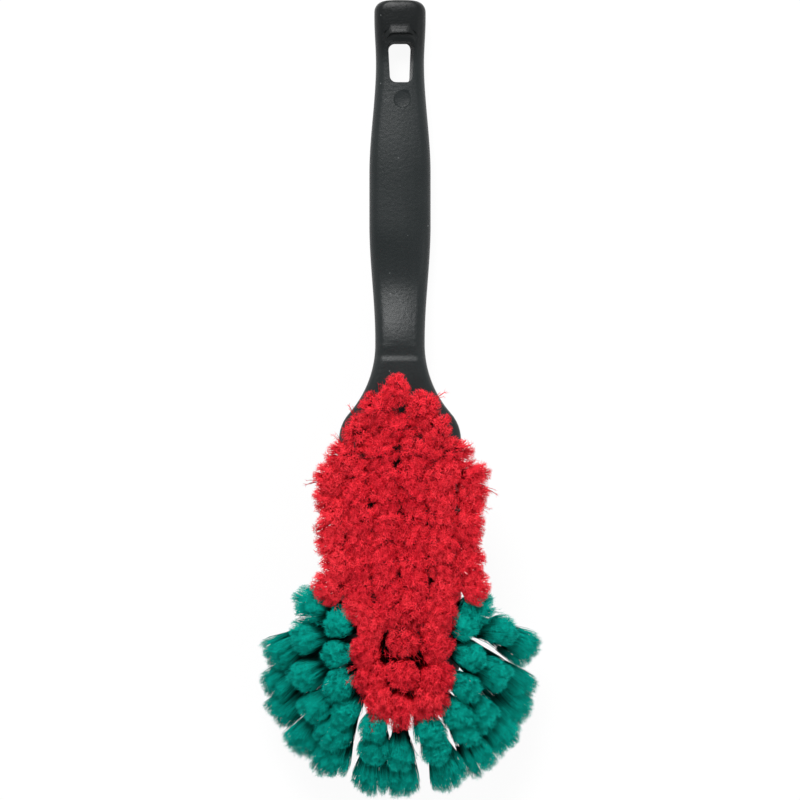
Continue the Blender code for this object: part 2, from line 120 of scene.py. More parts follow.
def profile(keys: Keys, y: float) -> float:
    """The value at y of a line that eases from each key to the next.

    Args:
        keys: Places along Y in rising order, each with its value.
        y: Where the value is wanted.

    Returns:
        The value there, level past the last key.
    """
    for (start, value), (end, following) in zip(keys, keys[1:]):
        if y <= end:
            return between(value, following, ease((y - start) / (end - start)))
    return keys[-1][1]


def sagitta(radius: float, offset: float) -> float:
    """How far an arc of this radius has dropped at this offset from its top."""
    return radius - math.sqrt(max(radius**2 - offset**2, 0.0))


def arc(middle: Point, radius: float, turns: Iterable[float]) -> list[Point]:
    """The points of a circle at these turns from its +X side."""
    x, y = middle
    return [(x + radius * math.cos(turn), y + radius * math.sin(turn)) for turn in turns]


def circle(middle: Point, radius: float, height: float, sides: int) -> list[Vector]:
    """The corners of a level polygon with many sides.

    Args:
        middle: Its middle, seen from above.
        radius: How far its corners are from the middle.
        height: The height of its plane.
        sides: How many sides it has.

    Returns:
        Its corners, from the +X side round.
    """
    turns = np.linspace(0.0, 2.0 * math.pi, sides, endpoint=False)
    return [Vector((x, y, height)) for x, y in arc(middle, radius, turns)]


# ---- Modelling in edit mode ----


class Workbench:
    """Edit-mode work that the moulding, its cutters and the filament share."""

    WELD = 0.002 * MM
    NEAR = 0.0001 * MM

    @staticmethod
    def clear_selection() -> None:
        """Leaves edit mode and deselects every object, the CAD's among them."""
        if bpy.context.object and bpy.context.object.mode != "OBJECT":
            bpy.ops.object.mode_set(mode="OBJECT")
        bpy.ops.object.select_all(action="DESELECT")

    @classmethod
    def loft(cls, name: str, outlines: Sequence[Outline], closed: Ends) -> bpy.types.Object:
        """Draws a circle as the first outline and extrudes it from one outline to the next.

        Args:
            name: What the piece is called.
            outlines: Closed outlines with as many points each, in order along the piece.
            closed: Which ends get a flat face.

        Returns:
            The piece, in object mode and selected.
        """
        cls.clear_selection()
        bpy.ops.mesh.primitive_circle_add(vertices=len(outlines[0]), radius=1.0)
        piece = bpy.context.object
        piece.name = piece.data.name = name
        bpy.ops.object.mode_set(mode="EDIT")
        bpy.ops.mesh.select_mode(type="VERT")
        drawn = bmesh.from_edit_mesh(piece.data)
        order = drawn.verts.layers.int.new("order")
        for index, vertex in enumerate(drawn.verts):
            vertex[order] = index
            vertex.co = outlines[0][index]
        bmesh.update_edit_mesh(piece.data)
        bpy.ops.mesh.edge_face_add()
        cls.keep_edges_only(piece)
        for outline in outlines[1:]:
            bpy.ops.mesh.extrude_edges_move()
            drawn = bmesh.from_edit_mesh(piece.data)
            order = drawn.verts.layers.int["order"]
            for vertex in drawn.verts:
                if vertex.select:
                    vertex.co = outline[vertex[order]]
            bmesh.update_edit_mesh(piece.data)
        if closed is Ends.BOTH:
            bpy.ops.mesh.edge_face_add()
        bpy.ops.mesh.select_all(action="SELECT")
        bpy.ops.mesh.remove_doubles(threshold=cls.WELD)
        bpy.ops.mesh.normals_make_consistent(inside=False)
        bpy.ops.object.mode_set(mode="OBJECT")
        return piece

    @staticmethod
    def keep_edges_only(piece: bpy.types.Object) -> None:
        """Selects all edges and no face, so that an extrude takes the outline alone."""
        drawn = bmesh.from_edit_mesh(piece.data)
        for face in drawn.faces:
            face.select = False
        for edge in drawn.edges:
            edge.select = True
        bmesh.update_edit_mesh(piece.data)

    @staticmethod
    def combine(piece: bpy.types.Object, tool: bpy.types.Object, way: Join) -> None:
        """Cuts the tool's shape out of the piece, or adds it, and removes the tool.

        Args:
            piece: The piece that is kept.
            tool: The closed shape that works on it.
            way: Whether the shape is cut out or added.
        """
        bpy.context.view_layer.objects.active = piece
        modifier = piece.modifiers.new(tool.name, "BOOLEAN")
        modifier.object = tool
        modifier.operation = way.value
        modifier.solver = "EXACT"
        bpy.ops.object.modifier_apply(modifier=modifier.name)
        bpy.data.objects.remove(tool, do_unlink=True)


# ---- The block and handle ----


@dataclass(frozen=True)
class BrushShape:
    """Sizes of the moulding, and the lines that its surfaces follow.

    The names and values are those of the part's source.
    """

    block_width: float = 49.2 * MM
    block_height: float = 18.0 * MM
    block_straight: float = 87.0 * MM
    shoulder_length: float = 38.5 * MM
    shoulder_radius: float = 16.0 * MM
    face_edge_radius: float = 2.5 * MM
    back_edge_radius: float = 3.5 * MM
    face_crown_radius: float = 150.0 * MM
    nose_dome_radius: float = 42.0 * MM
    dome_length: float = 6.0 * MM
    dome_fade: float = 28.0 * MM
    face_step_height: float = 2.6 * MM
    face_step_length: float = 3.0 * MM
    face_step_setback: float = 2.0 * MM
    handle_length: float = 138.9 * MM
    neck_width: float = 20.0 * MM
    grip_width: float = 24.8 * MM
    waist_width: float = 19.5 * MM
    end_width: float = 20.8 * MM
    end_corner_radius: float = 4.5 * MM
    hollow_thickness: float = 10.0 * MM
    grip_thickness: float = 13.0 * MM
    waist_thickness: float = 9.8 * MM
    end_thickness: float = 10.4 * MM
    neck_lift: float = 3.2 * MM
    grip_lift: float = 1.0 * MM
    end_lift: float = 2.6 * MM
    handle_edge_radius: float = 4.2 * MM
    handle_crown_radius: float = 60.0 * MM
    end_thinning_share: float = 0.24
    neck_end_share: float = 0.01
    hollow_share: float = 0.19
    grip_start_share: float = 0.345
    grip_end_share: float = 0.50
    waist_share: float = 0.82
    end_share: float = 0.95

    @property
    def neck(self) -> float:
        """Where the shoulders end and the handle starts."""
        return self.block_straight + self.shoulder_length

    @property
    def handle_end(self) -> float:
        """Where the handle ends."""
        return self.neck + self.handle_length

    def handle_at(self, share: float) -> float:
        """The place at this share of the handle's length."""
        return self.neck + self.handle_length * share

    def shoulder_half_width(self, y: float) -> float:
        """Half the width on the shoulders, where two arcs meet smoothly.

        Args:
            y: A place between the block's straight sides and the neck.

        Returns:
            Half the width there.
        """
        drop = (self.block_width - self.neck_width) / 2.0
        turn = 2.0 * math.atan2(drop, self.shoulder_length)
        shoulder = min(self.shoulder_radius, self.shoulder_length / math.sin(turn) / 2.0)
        flare = self.shoulder_length / math.sin(turn) - shoulder
        along = y - self.block_straight
        if along < shoulder * math.sin(turn):
            return self.block_width / 2.0 - shoulder + math.sqrt(shoulder**2 - along**2)
        left = self.shoulder_length - along
        return self.neck_width / 2.0 + flare - math.sqrt(flare**2 - left**2)

    def half_width(self, y: float) -> float:
        """Half the moulding's width at y, with the rounded corners of its end."""
        if y <= self.block_straight:
            return self.block_width / 2.0
        if y < self.neck:
            return self.shoulder_half_width(y)
        keys = (
            (self.handle_at(self.neck_end_share), self.neck_width / 2.0),
            (self.handle_at(self.grip_start_share), self.grip_width / 2.0),
            (self.handle_at(self.grip_end_share), self.grip_width / 2.0),
            (self.handle_at(self.waist_share), self.waist_width / 2.0),
            (self.handle_at(self.end_share), self.end_width / 2.0),
        )
        return profile(keys, y) - sagitta(self.end_corner_radius, self.into_corner(y))

    def into_corner(self, y: float) -> float:
        """How far y lies past the start of the end's rounded corners."""
        into = y - (self.handle_end - self.end_corner_radius)
        return min(max(into, 0.0), self.end_corner_radius)

    def back_height(self, y: float) -> float:
        """Height of the underside: flat under the block and lifted under the handle."""
        keys = (
            (self.block_straight + self.shoulder_length / 2.0, 0.0),
            (self.handle_at(self.neck_end_share), self.neck_lift),
            (self.handle_at(self.grip_start_share), self.grip_lift),
            (self.handle_at(self.grip_end_share), self.grip_lift),
            (self.handle_at(self.end_share), self.end_lift),
        )
        return profile(keys, y)

    def face_height(self, y: float) -> float:
        """Height of the top along its middle, before the rounding of the handle's end."""
        step_foot = self.neck - self.face_step_setback
        hollow = self.handle_at(self.hollow_share)
        grip_start = self.handle_at(self.grip_start_share)
        grip_end = self.handle_at(self.grip_end_share)
        waist = self.handle_at(self.waist_share)
        end = self.handle_at(self.end_share)
        keys = (
            (step_foot - self.face_step_length, self.block_height),
            (step_foot, self.block_height - self.face_step_height),
            (hollow, self.back_height(hollow) + self.hollow_thickness),
            (grip_start, self.grip_lift + self.grip_thickness),
            (grip_end, self.grip_lift + self.grip_thickness),
            (waist, self.back_height(waist) + self.waist_thickness),
            (end, self.end_lift + self.end_thickness),
        )
        return profile(keys, y)

    def face_drop(self, offset: float, y: float) -> float:
        """How far the face lies below its middle line at this offset from it."""
        if y >= self.neck:
            return sagitta(self.handle_crown_radius, offset)
        plain = sagitta(self.face_crown_radius, offset)
        dome = sagitta(self.nose_dome_radius, offset)
        return between(dome, plain, ease((y - self.dome_length) / self.dome_fade))

    def face_point(self, x: float, y: float) -> Vector:
        """The point of the block's face above this place."""
        offset = math.hypot(x, y) if y < 0 else abs(x)
        drop = self.face_drop(offset, max(y, 0.0))
        return Vector((x, y, self.face_height(max(y, 0.0)) - drop))

    def face_normal(self, x: float, y: float) -> Vector:
        """The direction square to the block's face above this place."""
        reach = 1.4 * MM
        across = self.face_point(x + reach, y) - self.face_point(x - reach, y)
        along = self.face_point(x, y + reach) - self.face_point(x, y - reach)
        return across.cross(along).normalized()


@dataclass(frozen=True)
class TaperedSlot:
    """A tapered outline with rounded corners, wider towards the handle's end."""

    length: float
    top_width: float
    foot_width: float
    corner: float
    corner_steps: int = 8

    def points(self, margin: float) -> list[Point]:
        """The outline, widened all round.

        Args:
            margin: How far it is widened.

        Returns:
            Points round the outline, about its middle.
        """
        length = self.length + 2.0 * margin
        top = self.top_width + 2.0 * margin
        foot = self.foot_width + 2.0 * margin
        corner = self.corner + margin
        corners = (
            (top / 2.0, length / 2.0),
            (-top / 2.0, length / 2.0),
            (-foot / 2.0, -length / 2.0),
            (foot / 2.0, -length / 2.0),
        )
        steps = self.corner_steps
        points = []
        for quarter, (x, y) in enumerate(corners):
            middle = (x - math.copysign(corner, x), y - math.copysign(corner, y))
            turns = [math.pi / 2.0 * (quarter + step / steps) for step in range(steps + 1)]
            points += arc(middle, corner, turns)
        return points


@dataclass
class Moulding:
    """The handle and block in one piece of black plastic.

    The dish's rim is given by how far it spreads and rises, in depths of the dish. The mark's
    steps spread in millimetres and rise in depths of the mark.
    """

    shape: BrushShape = field(default_factory=BrushShape)
    arc_steps: int = 7
    face_steps: int = 9
    nose_steps: int = 40
    sharp_angle: float = 38.0
    slot: TaperedSlot = TaperedSlot(16.4 * MM, 10.4 * MM, 9.2 * MM, 2.6 * MM)
    slot_flare: float = 0.8 * MM
    slot_flare_steps: int = 5
    slot_share: float = 0.8215
    slot_offset: float = 0.5 * MM
    slot_draft: float = 1.5 * MM
    slot_scoop: float = 2.6 * MM
    dish_length: float = 24.0 * MM
    dish_run_out: float = 5.0 * MM
    dish_clearance: float = 0.1 * MM
    dish_width: float = 15.6 * MM
    dish_depth: float = 0.9 * MM
    dish_corner: float = 4.0 * MM
    dish_rim: Keys = ((0.0, 0.0), (0.25, 0.07), (0.55, 0.3), (0.85, 0.65), (1.2, 1.0))
    ridge_crest: TaperedSlot = TaperedSlot(0.6 * MM, 4.6 * MM, 4.6 * MM, 0.3 * MM)
    ridge_height: float = 1.6 * MM
    ridge_slope: float = 4.0 * MM
    ridge_root: float = 0.8 * MM
    ridge_setback: float = 0.4 * MM
    ridge_shares: tuple[float, ...] = (1.0, 0.86, 0.7, 0.52, 0.34, 0.15)
    mark_diameter: float = 7.4 * MM
    mark_depth: float = 0.42 * MM
    mark_offset: float = 0.9 * MM
    mark_share: float = 0.714
    mark_sides: int = 48
    mark_steps: Keys = ((-0.8, -1.0), (-0.55, -0.9), (-0.25, -0.45), (0.0, 0.1), (0.0, 5.0))
    hole_radius: float = 1.45 * MM
    hole_depth: float = 2.4 * MM
    hole_bevel: float = 0.25 * MM
    hole_clearance: float = 0.05 * MM
    hole_sides: int = 14
    end_upturn: float = 1.6 * MM
    end_upturn_power: float = 1.4
    hollow_rise: float = 1.0 * MM
    step_rise: float = 2.42 * MM
    step_valley: float = 0.35 * MM
    step_settle: float = 6.0 * MM
    step_shift: float = 2.2 * MM
    overrun: float = 2.0 * MM

    def build(self, tufts: Iterable[Tuft], material: bpy.types.Material) -> bpy.types.Object:
        """Models the moulding.

        Args:
            tufts: The tufts that need a hole.
            material: The finish of the whole piece.

        Returns:
            The finished piece, which stands for the CAD's.
        """
        sections = [self.section(y) for y in self.stations()]
        piece = Workbench.loft("brush_moulding", sections, Ends.FIRST)
        self.spin_nose(piece)
        Workbench.combine(piece, self.dish_cutter(), Join.CUT)
        Workbench.combine(piece, self.ridge(), Join.ADD)
        Workbench.combine(piece, self.slot_cutter(), Join.CUT)
        Workbench.combine(piece, self.mark_cutter(), Join.CUT)
        Workbench.combine(piece, self.hole_cutter(tufts), Join.CUT)
        piece.data.materials.clear()
        piece.data.materials.append(material)
        Workbench.clear_selection()
        piece.select_set(True)
        bpy.context.view_layer.objects.active = piece
        bpy.ops.object.shade_smooth_by_angle(angle=math.radians(self.sharp_angle))
        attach(piece, "root")
        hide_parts("handle_block")
        return piece

    @property
    def slot_place(self) -> float:
        """Where along Y the middle of the slot is."""
        return self.shape.handle_at(self.slot_share)

    def stations(self) -> list[float]:
        """Where along Y the moulding has a section, from the handle's end to the nose."""
        shape = self.shape
        corner = shape.handle_end - shape.end_corner_radius
        domed = shape.dome_length + shape.dome_fade
        step_foot = shape.neck - shape.face_step_setback - self.step_shift
        step_top = step_foot - shape.face_step_length
        spans = (
            (0.0, domed, 12),
            (domed, shape.block_straight, 9),
            (shape.block_straight, step_top, 18),
            (step_top, step_foot, 13),
            (step_foot, step_foot + self.step_settle, 9),
            (step_foot + self.step_settle, corner, 56),
        )
        places = {float(y) for start, end, count in spans for y in np.linspace(start, end, count)}
        for turn in np.linspace(0.0, math.pi / 2.0, 9):
            places.add(corner + shape.end_corner_radius * math.sin(turn))
        return sorted(places, reverse=True)

    def section(self, y: float) -> list[Vector]:
        """The moulding's outline at y, from the middle of its back round to its face."""
        half = self.half_section(y)
        right = [Vector((offset, y, height)) for offset, height in half]
        left = [Vector((-offset, y, height)) for offset, height in half[-2:0:-1]]
        return right + left

    def face_height(self, y: float) -> float:
        """Height of the top along its middle.

        It turns up a little at the handle's end. Its hollow and the foot of its step are a
        little shallower than the shape's, and the step lies a little nearer the nose.
        """
        shape = self.shape
        waist = shape.handle_at(shape.waist_share)
        share = max(y - waist, 0.0) / (shape.handle_end - waist)
        step_foot = shape.neck - shape.face_step_setback
        hollow = shape.handle_at(shape.hollow_share)
        keys = (
            (step_foot - shape.face_step_length, 0.0),
            (step_foot, self.step_rise - self.step_valley),
            (step_foot + self.step_settle, self.step_rise),
            (hollow, self.hollow_rise),
            (shape.handle_at(shape.grip_start_share), 0.0),
        )
        place = y + self.step_shift * ease((hollow - y) / (hollow - step_foot))
        upturn = self.end_upturn * share**self.end_upturn_power
        return shape.face_height(place) + profile(keys, place) + upturn

    def half_section(self, y: float) -> list[Point]:
        """Offsets and heights round the right half of a section.

        Args:
            y: Where the section is.

        Returns:
            Points from the middle of the back to the middle of the face.
        """
        shape = self.shape
        width = shape.half_width(y)
        back = shape.back_height(y)
        top = self.face_height(y)
        turned = sagitta(shape.end_corner_radius, shape.into_corner(y))
        thinning = (top - back) * shape.end_thinning_share * turned / shape.end_corner_radius
        back += thinning / 2.0
        top -= thinning / 2.0
        blend = ease((y - shape.block_straight) / shape.shoulder_length)
        back_radius = between(shape.back_edge_radius, shape.handle_edge_radius, blend)
        face_radius = between(shape.face_edge_radius, shape.handle_edge_radius, blend)
        inner = width - face_radius
        fall = shape.face_drop(width, y) - shape.face_drop(inner, y)
        turn = math.pi / 2.0 - math.atan2(fall, face_radius)
        edge = inner + face_radius * math.cos(turn)
        edge_height = top - shape.face_drop(edge, y) - face_radius * math.sin(turn)
        steps = range(self.arc_steps + 1)
        lower = [math.pi / 2.0 * (step / self.arc_steps - 1.0) for step in steps]
        upper = [turn * step / self.arc_steps for step in steps]
        points = [(0.0, back), ((width - back_radius) / 2.0, back)]
        points += arc((width - back_radius, back + back_radius), back_radius, lower)
        points += arc((inner, edge_height), face_radius, upper)
        for step in range(1, self.face_steps + 1):
            offset = edge * (1.0 - step / self.face_steps)
            points.append((offset, top - shape.face_drop(offset, y)))
        return points

    def spin_nose(self, piece: bpy.types.Object) -> None:
        """Spins the right half of the last section round to the left half.

        Args:
            piece: The lofted moulding, open at its nose.
        """
        bpy.ops.object.mode_set(mode="EDIT")
        bpy.ops.mesh.select_all(action="DESELECT")
        drawn = bmesh.from_edit_mesh(piece.data)
        near = Workbench.NEAR
        for edge in drawn.edges:
            if all(abs(end.co.y) < near and end.co.x > -near for end in edge.verts):
                edge.select = True
        bmesh.update_edit_mesh(piece.data)
        bpy.ops.mesh.spin(
            steps=self.nose_steps, angle=math.pi, center=(0.0, 0.0, 0.0), axis=(0.0, 0.0, 1.0)
        )
        bpy.ops.mesh.select_all(action="SELECT")
        bpy.ops.mesh.remove_doubles(threshold=Workbench.WELD)
        bpy.ops.mesh.dissolve_degenerate(threshold=Workbench.WELD)
        bpy.ops.mesh.normals_make_consistent(inside=False)
        bpy.ops.object.mode_set(mode="OBJECT")

    def slot_level(self, margin: float, height: float, scoop: float) -> list[Vector]:
        """The slot's outline at one height, with one side wall drawn in towards the back.

        Args:
            margin: How far the rounding has widened it.
            height: The height of the outline.
            scoop: How far its end is drawn out towards the handle's end.

        Returns:
            The points of the outline.
        """
        centre = self.slot_place
        back = self.shape.back_height(centre)
        depth = 1.0 - ease((height - back) / (self.face_height(centre) - back))
        level = []
        for x, y in self.slot.points(margin):
            drawn_in = self.slot_draft * depth * max(x, 0.0) / (self.slot.top_width / 2.0)
            drawn_out = scoop * ease(y / self.slot.length + 0.5) if y > 0.0 else 0.0
            level.append(Vector((x + self.slot_offset - drawn_in, centre + y + drawn_out, height)))
        return level

    def slot_cutter(self) -> bpy.types.Object:
        """The hanging slot, rounded over at both faces and scooped out at its upper end."""
        back = self.shape.back_height(self.slot_place)
        top = self.floor_height(self.slot_place)
        steps = self.slot_flare_steps
        turns = [math.pi / 2.0 * step / steps for step in range(steps + 1)]
        levels = [self.slot_level(self.slot_flare, back - self.overrun, 0.0)]
        for turn in turns:
            margin = self.slot_flare * (1.0 - math.sin(turn))
            height = back + self.slot_flare * (1.0 - math.cos(turn))
            levels.append(self.slot_level(margin, height, 0.0))
        for turn in reversed(turns):
            share = 1.0 - math.sin(turn)
            height = top - self.slot_flare * (1.0 - math.cos(turn))
            levels.append(self.slot_level(self.slot_flare * share, height, self.slot_scoop * share))
        levels.append(self.slot_level(self.slot_flare, top + self.overrun, self.slot_scoop))
        return Workbench.loft("slot_cutter", levels, Ends.BOTH)

    def floor_height(self, y: float) -> float:
        """Height of the dish's flat floor, which runs out just above the face of the grip."""
        high = self.slot_place + self.dish_length / 2.0
        low = self.slot_place - self.dish_length / 2.0 - self.dish_run_out
        deep = self.face_height(high) - self.dish_depth
        shallow = self.face_height(low) + self.dish_clearance
        return shallow + (deep - shallow) * (y - low) / (high - low)

    def dish_cutter(self) -> bpy.types.Object:
        """The shallow dish round the slot, with a rim that slopes and rounds over."""
        length = self.dish_length + self.dish_run_out
        dish = TaperedSlot(length, self.dish_width, self.dish_width, self.dish_corner)
        centre = self.slot_place - self.dish_run_out / 2.0
        above = (self.dish_rim[-1][0], self.overrun / self.dish_depth)
        levels = []
        for spread, rise in (*self.dish_rim, above):
            level = []
            for x, y in dish.points(spread * self.dish_depth):
                height = self.floor_height(centre + y) + rise * self.dish_depth
                level.append(Vector((x, centre + y, height)))
            levels.append(level)
        return Workbench.loft("dish_cutter", levels, Ends.BOTH)

    def ridge(self) -> bpy.types.Object:
        """The low ridge between the slot and the handle's end, rooted in the dish's floor."""
        edge = self.slot_place + self.slot.length / 2.0
        crest = edge + self.slot_flare + self.slot_scoop - self.ridge_setback
        floor = self.floor_height(crest)
        steps = [(self.ridge_shares[0], -self.ridge_root)]
        steps += [(share, self.ridge_height * (1.0 - share * share)) for share in self.ridge_shares]
        levels = []
        for share, rise in steps:
            outline = self.ridge_crest.points(self.ridge_slope * share)
            levels.append([Vector((x, crest + y, floor + rise)) for x, y in outline])
        return Workbench.loft("ridge", levels, Ends.BOTH)

    def mark_cutter(self) -> bpy.types.Object:
        """The plain round mark that a moulding tool leaves."""
        place = self.shape.handle_at(self.mark_share)
        top = self.face_height(place)
        levels = []
        for spread, rise in self.mark_steps:
            radius = self.mark_diameter / 2.0 + spread * MM
            height = top + rise * self.mark_depth
            levels.append(circle((self.mark_offset, place), radius, height, self.mark_sides))
        return Workbench.loft("mark_cutter", levels, Ends.BOTH)

    def hole_cutter(self, tufts: Iterable[Tuft]) -> bpy.types.Object:
        """One cutter with a short countersunk rod for each tuft.

        Args:
            tufts: The tufts that need a hole.

        Returns:
            The joined rods.
        """
        rim = self.hole_radius + self.hole_bevel
        steps = (
            (self.hole_radius, -self.hole_depth),
            (self.hole_radius, -self.hole_bevel),
            (rim, self.hole_clearance),
            (rim, self.overrun),
        )
        levels = [circle((0.0, 0.0), radius, height, self.hole_sides) for radius, height in steps]
        rod = Workbench.loft("hole_cutter", levels, Ends.BOTH)
        drawn = bmesh.new()
        for tuft in tufts:
            turn = tuft.normal.to_track_quat("Z", "Y").to_matrix().to_4x4()
            place = Matrix.Translation(tuft.foot) @ turn
            before = len(drawn.verts)
            drawn.from_mesh(rod.data)
            drawn.verts.ensure_lookup_table()
            bmesh.ops.transform(drawn, matrix=place, verts=drawn.verts[before:])
        drawn.to_mesh(rod.data)
        drawn.free()
        return rod


# ---- Where the tufts stand ----


@dataclass(frozen=True)
class Tuft:
    """One tuft: its foot on the face, the way square to the face, and the way it leans."""

    foot: Vector
    normal: Vector
    direction: Vector


@dataclass(frozen=True)
class TuftRow:
    """Tufts that share a node of the CAD."""

    node: str
    finish: Finish
    tufts: tuple[Tuft, ...]


@dataclass(frozen=True)
class Bend:
    """A U-shaped line: two straight legs joined by a half circle that faces the front."""

    half_width: float
    forward: float

    def at(self, distance: float) -> Point:
        """The place at this distance along the line from the front, to the right when positive."""
        quarter = self.half_width * math.pi / 2.0
        if abs(distance) <= quarter:
            turn = distance / self.half_width
            x = self.half_width * math.sin(turn)
            return x, -self.forward - self.half_width * math.cos(turn)
        return math.copysign(self.half_width, distance), abs(distance) - quarter - self.forward


@dataclass(frozen=True)
class Ring:
    """Tufts at an even pitch along one bend, with tips at an even pitch along another."""

    root_shares: tuple[float, float, float, float]
    tip_shares: tuple[float, float, float, float]

    @staticmethod
    def distance(first: float, pitch: float, index: int) -> float:
        """How far along its line the tuft of this index is from the front."""
        return math.copysign(first + pitch * (abs(index) - 1), index) if index else 0.0

    def places(self, index: int, half_width: float, length: float) -> tuple[Point, Point]:
        """Where the tuft of this index has its root and its tip.

        Args:
            index: Counts the tufts from the front, to the right when positive.
            half_width: Half the block's width.
            length: The bristles' free length.

        Returns:
            The places of its root and of its tip.
        """
        width, forward, first, pitch = (half_width * share for share in self.root_shares)
        root = Bend(width, forward).at(self.distance(first, pitch, index))
        width += length * self.tip_shares[0]
        forward, first, pitch = (width * share for share in self.tip_shares[1:])
        return root, Bend(width, forward).at(self.distance(first, pitch, index))


@dataclass(frozen=True)
class TuftLayout:
    """The places and leans of all tufts, with the names and values of the part's source."""

    shape: BrushShape = field(default_factory=BrushShape)
    bristle_length: float = 42.0 * MM
    first_row_share: float = 0.862
    last_row_margin: float = 17.8 * MM
    rows: tuple[tuple[int, float, float], ...] = (
        (4, 0.465, 0.50),
        *[(6, 0.843, 0.34)] * 6,
        (4, 0.785, 0.33),
        (3, 0.660, 0.18),
        (2, 0.420, 0.22),
        (1, 0.0, 0.0),
    )
    red: Ring = Ring((0.215, 0.150, 0.290, 0.252), (0.227, 0.536, 0.850, 0.707))
    inner: Ring = Ring((0.431, 0.057, 0.200, 0.268), (0.391, 0.147, 0.372, 0.480))
    middle: Ring = Ring((0.646, 0.028, 0.297, 0.297), (0.574, 0.050, 0.350, 0.350))
    outer: Ring = Ring((0.866, 0.0, 0.350, 0.350), (0.755, 0.0, 0.280, 0.280))
    spine_start: float = 0.295
    spine_pitch: float = 0.350
    spine_leans: tuple[float, float, float] = (0.370, 0.200, 0.030)

    def tuft(self, root: Point, tip: Point) -> Tuft:
        """The tuft that stands at root and whose tip lies above the place of tip."""
        lean = Vector((tip[0] - root[0], tip[1] - root[1], 0.0))
        rise = math.sqrt(max(self.bristle_length**2 - lean.length_squared, 0.0))
        direction = (lean + Vector((0.0, 0.0, rise))).normalized()
        return Tuft(self.shape.face_point(*root), self.shape.face_normal(*root), direction)

    def all_rows(self) -> list[TuftRow]:
        """Every row, from the block's face to the outer ring."""
        return self.cross_rows() + [self.spine_row()] + self.ring_rows()

    def cross_rows(self) -> list[TuftRow]:
        """The red rows across the face, the first one next to the nose."""
        first = self.shape.block_width / 2.0 * self.first_row_share
        pitch = (self.shape.neck - self.last_row_margin - first) / (len(self.rows) - 1)
        made = []
        for index, (count, reach_share, lean_share) in enumerate(self.rows):
            y = first + pitch * index
            reach = self.shape.half_width(y) * reach_share
            tufts = []
            for column in range(count):
                x = reach * (2.0 * column / max(count - 1, 1) - 1.0)
                tufts.append(self.tuft((x, y), (x * (1.0 + lean_share), y)))
            made.append(TuftRow(f"red_row_{index + 1:02d}", Finish.RED, tuple(tufts)))
        return made

    def spine_row(self) -> TuftRow:
        """The red tufts along the middle of the nose."""
        half = self.shape.block_width / 2.0
        tufts = []
        for index, lean_share in enumerate(self.spine_leans):
            y = half * (self.spine_pitch * index - self.spine_start)
            tufts.append(self.tuft((0.0, y), (0.0, y - self.bristle_length * lean_share)))
        return TuftRow("red_nose_middle", Finish.RED, tuple(tufts))

    def ring_rows(self) -> list[TuftRow]:
        """The red tufts either side of the nose's middle and the three green rings."""
        runs = [
            ("red_nose_left", Finish.RED, self.red, (-4, -3, -2, -1)),
            ("red_nose_right", Finish.RED, self.red, (1, 2, 3, 4)),
            ("green_inner_left", Finish.GREEN, self.inner, (-5, -4, -3, -2)),
            ("green_inner_front", Finish.GREEN, self.inner, (-1, 1)),
            ("green_inner_right", Finish.GREEN, self.inner, (2, 3, 4, 5)),
        ]
        for place, ring in (("middle", self.middle), ("outer", self.outer)):
            runs.append((f"green_{place}_left", Finish.GREEN, ring, (-6, -5, -4, -3)))
            runs.append((f"green_{place}_front", Finish.GREEN, ring, (-2, -1, 0, 1, 2)))
            runs.append((f"green_{place}_right", Finish.GREEN, ring, (3, 4, 5, 6)))
        half = self.shape.block_width / 2.0
        made = []
        for node, finish, ring, indices in runs:
            places = (ring.places(index, half, self.bristle_length) for index in indices)
            made.append(TuftRow(node, finish, tuple(self.tuft(*place) for place in places)))
        return made


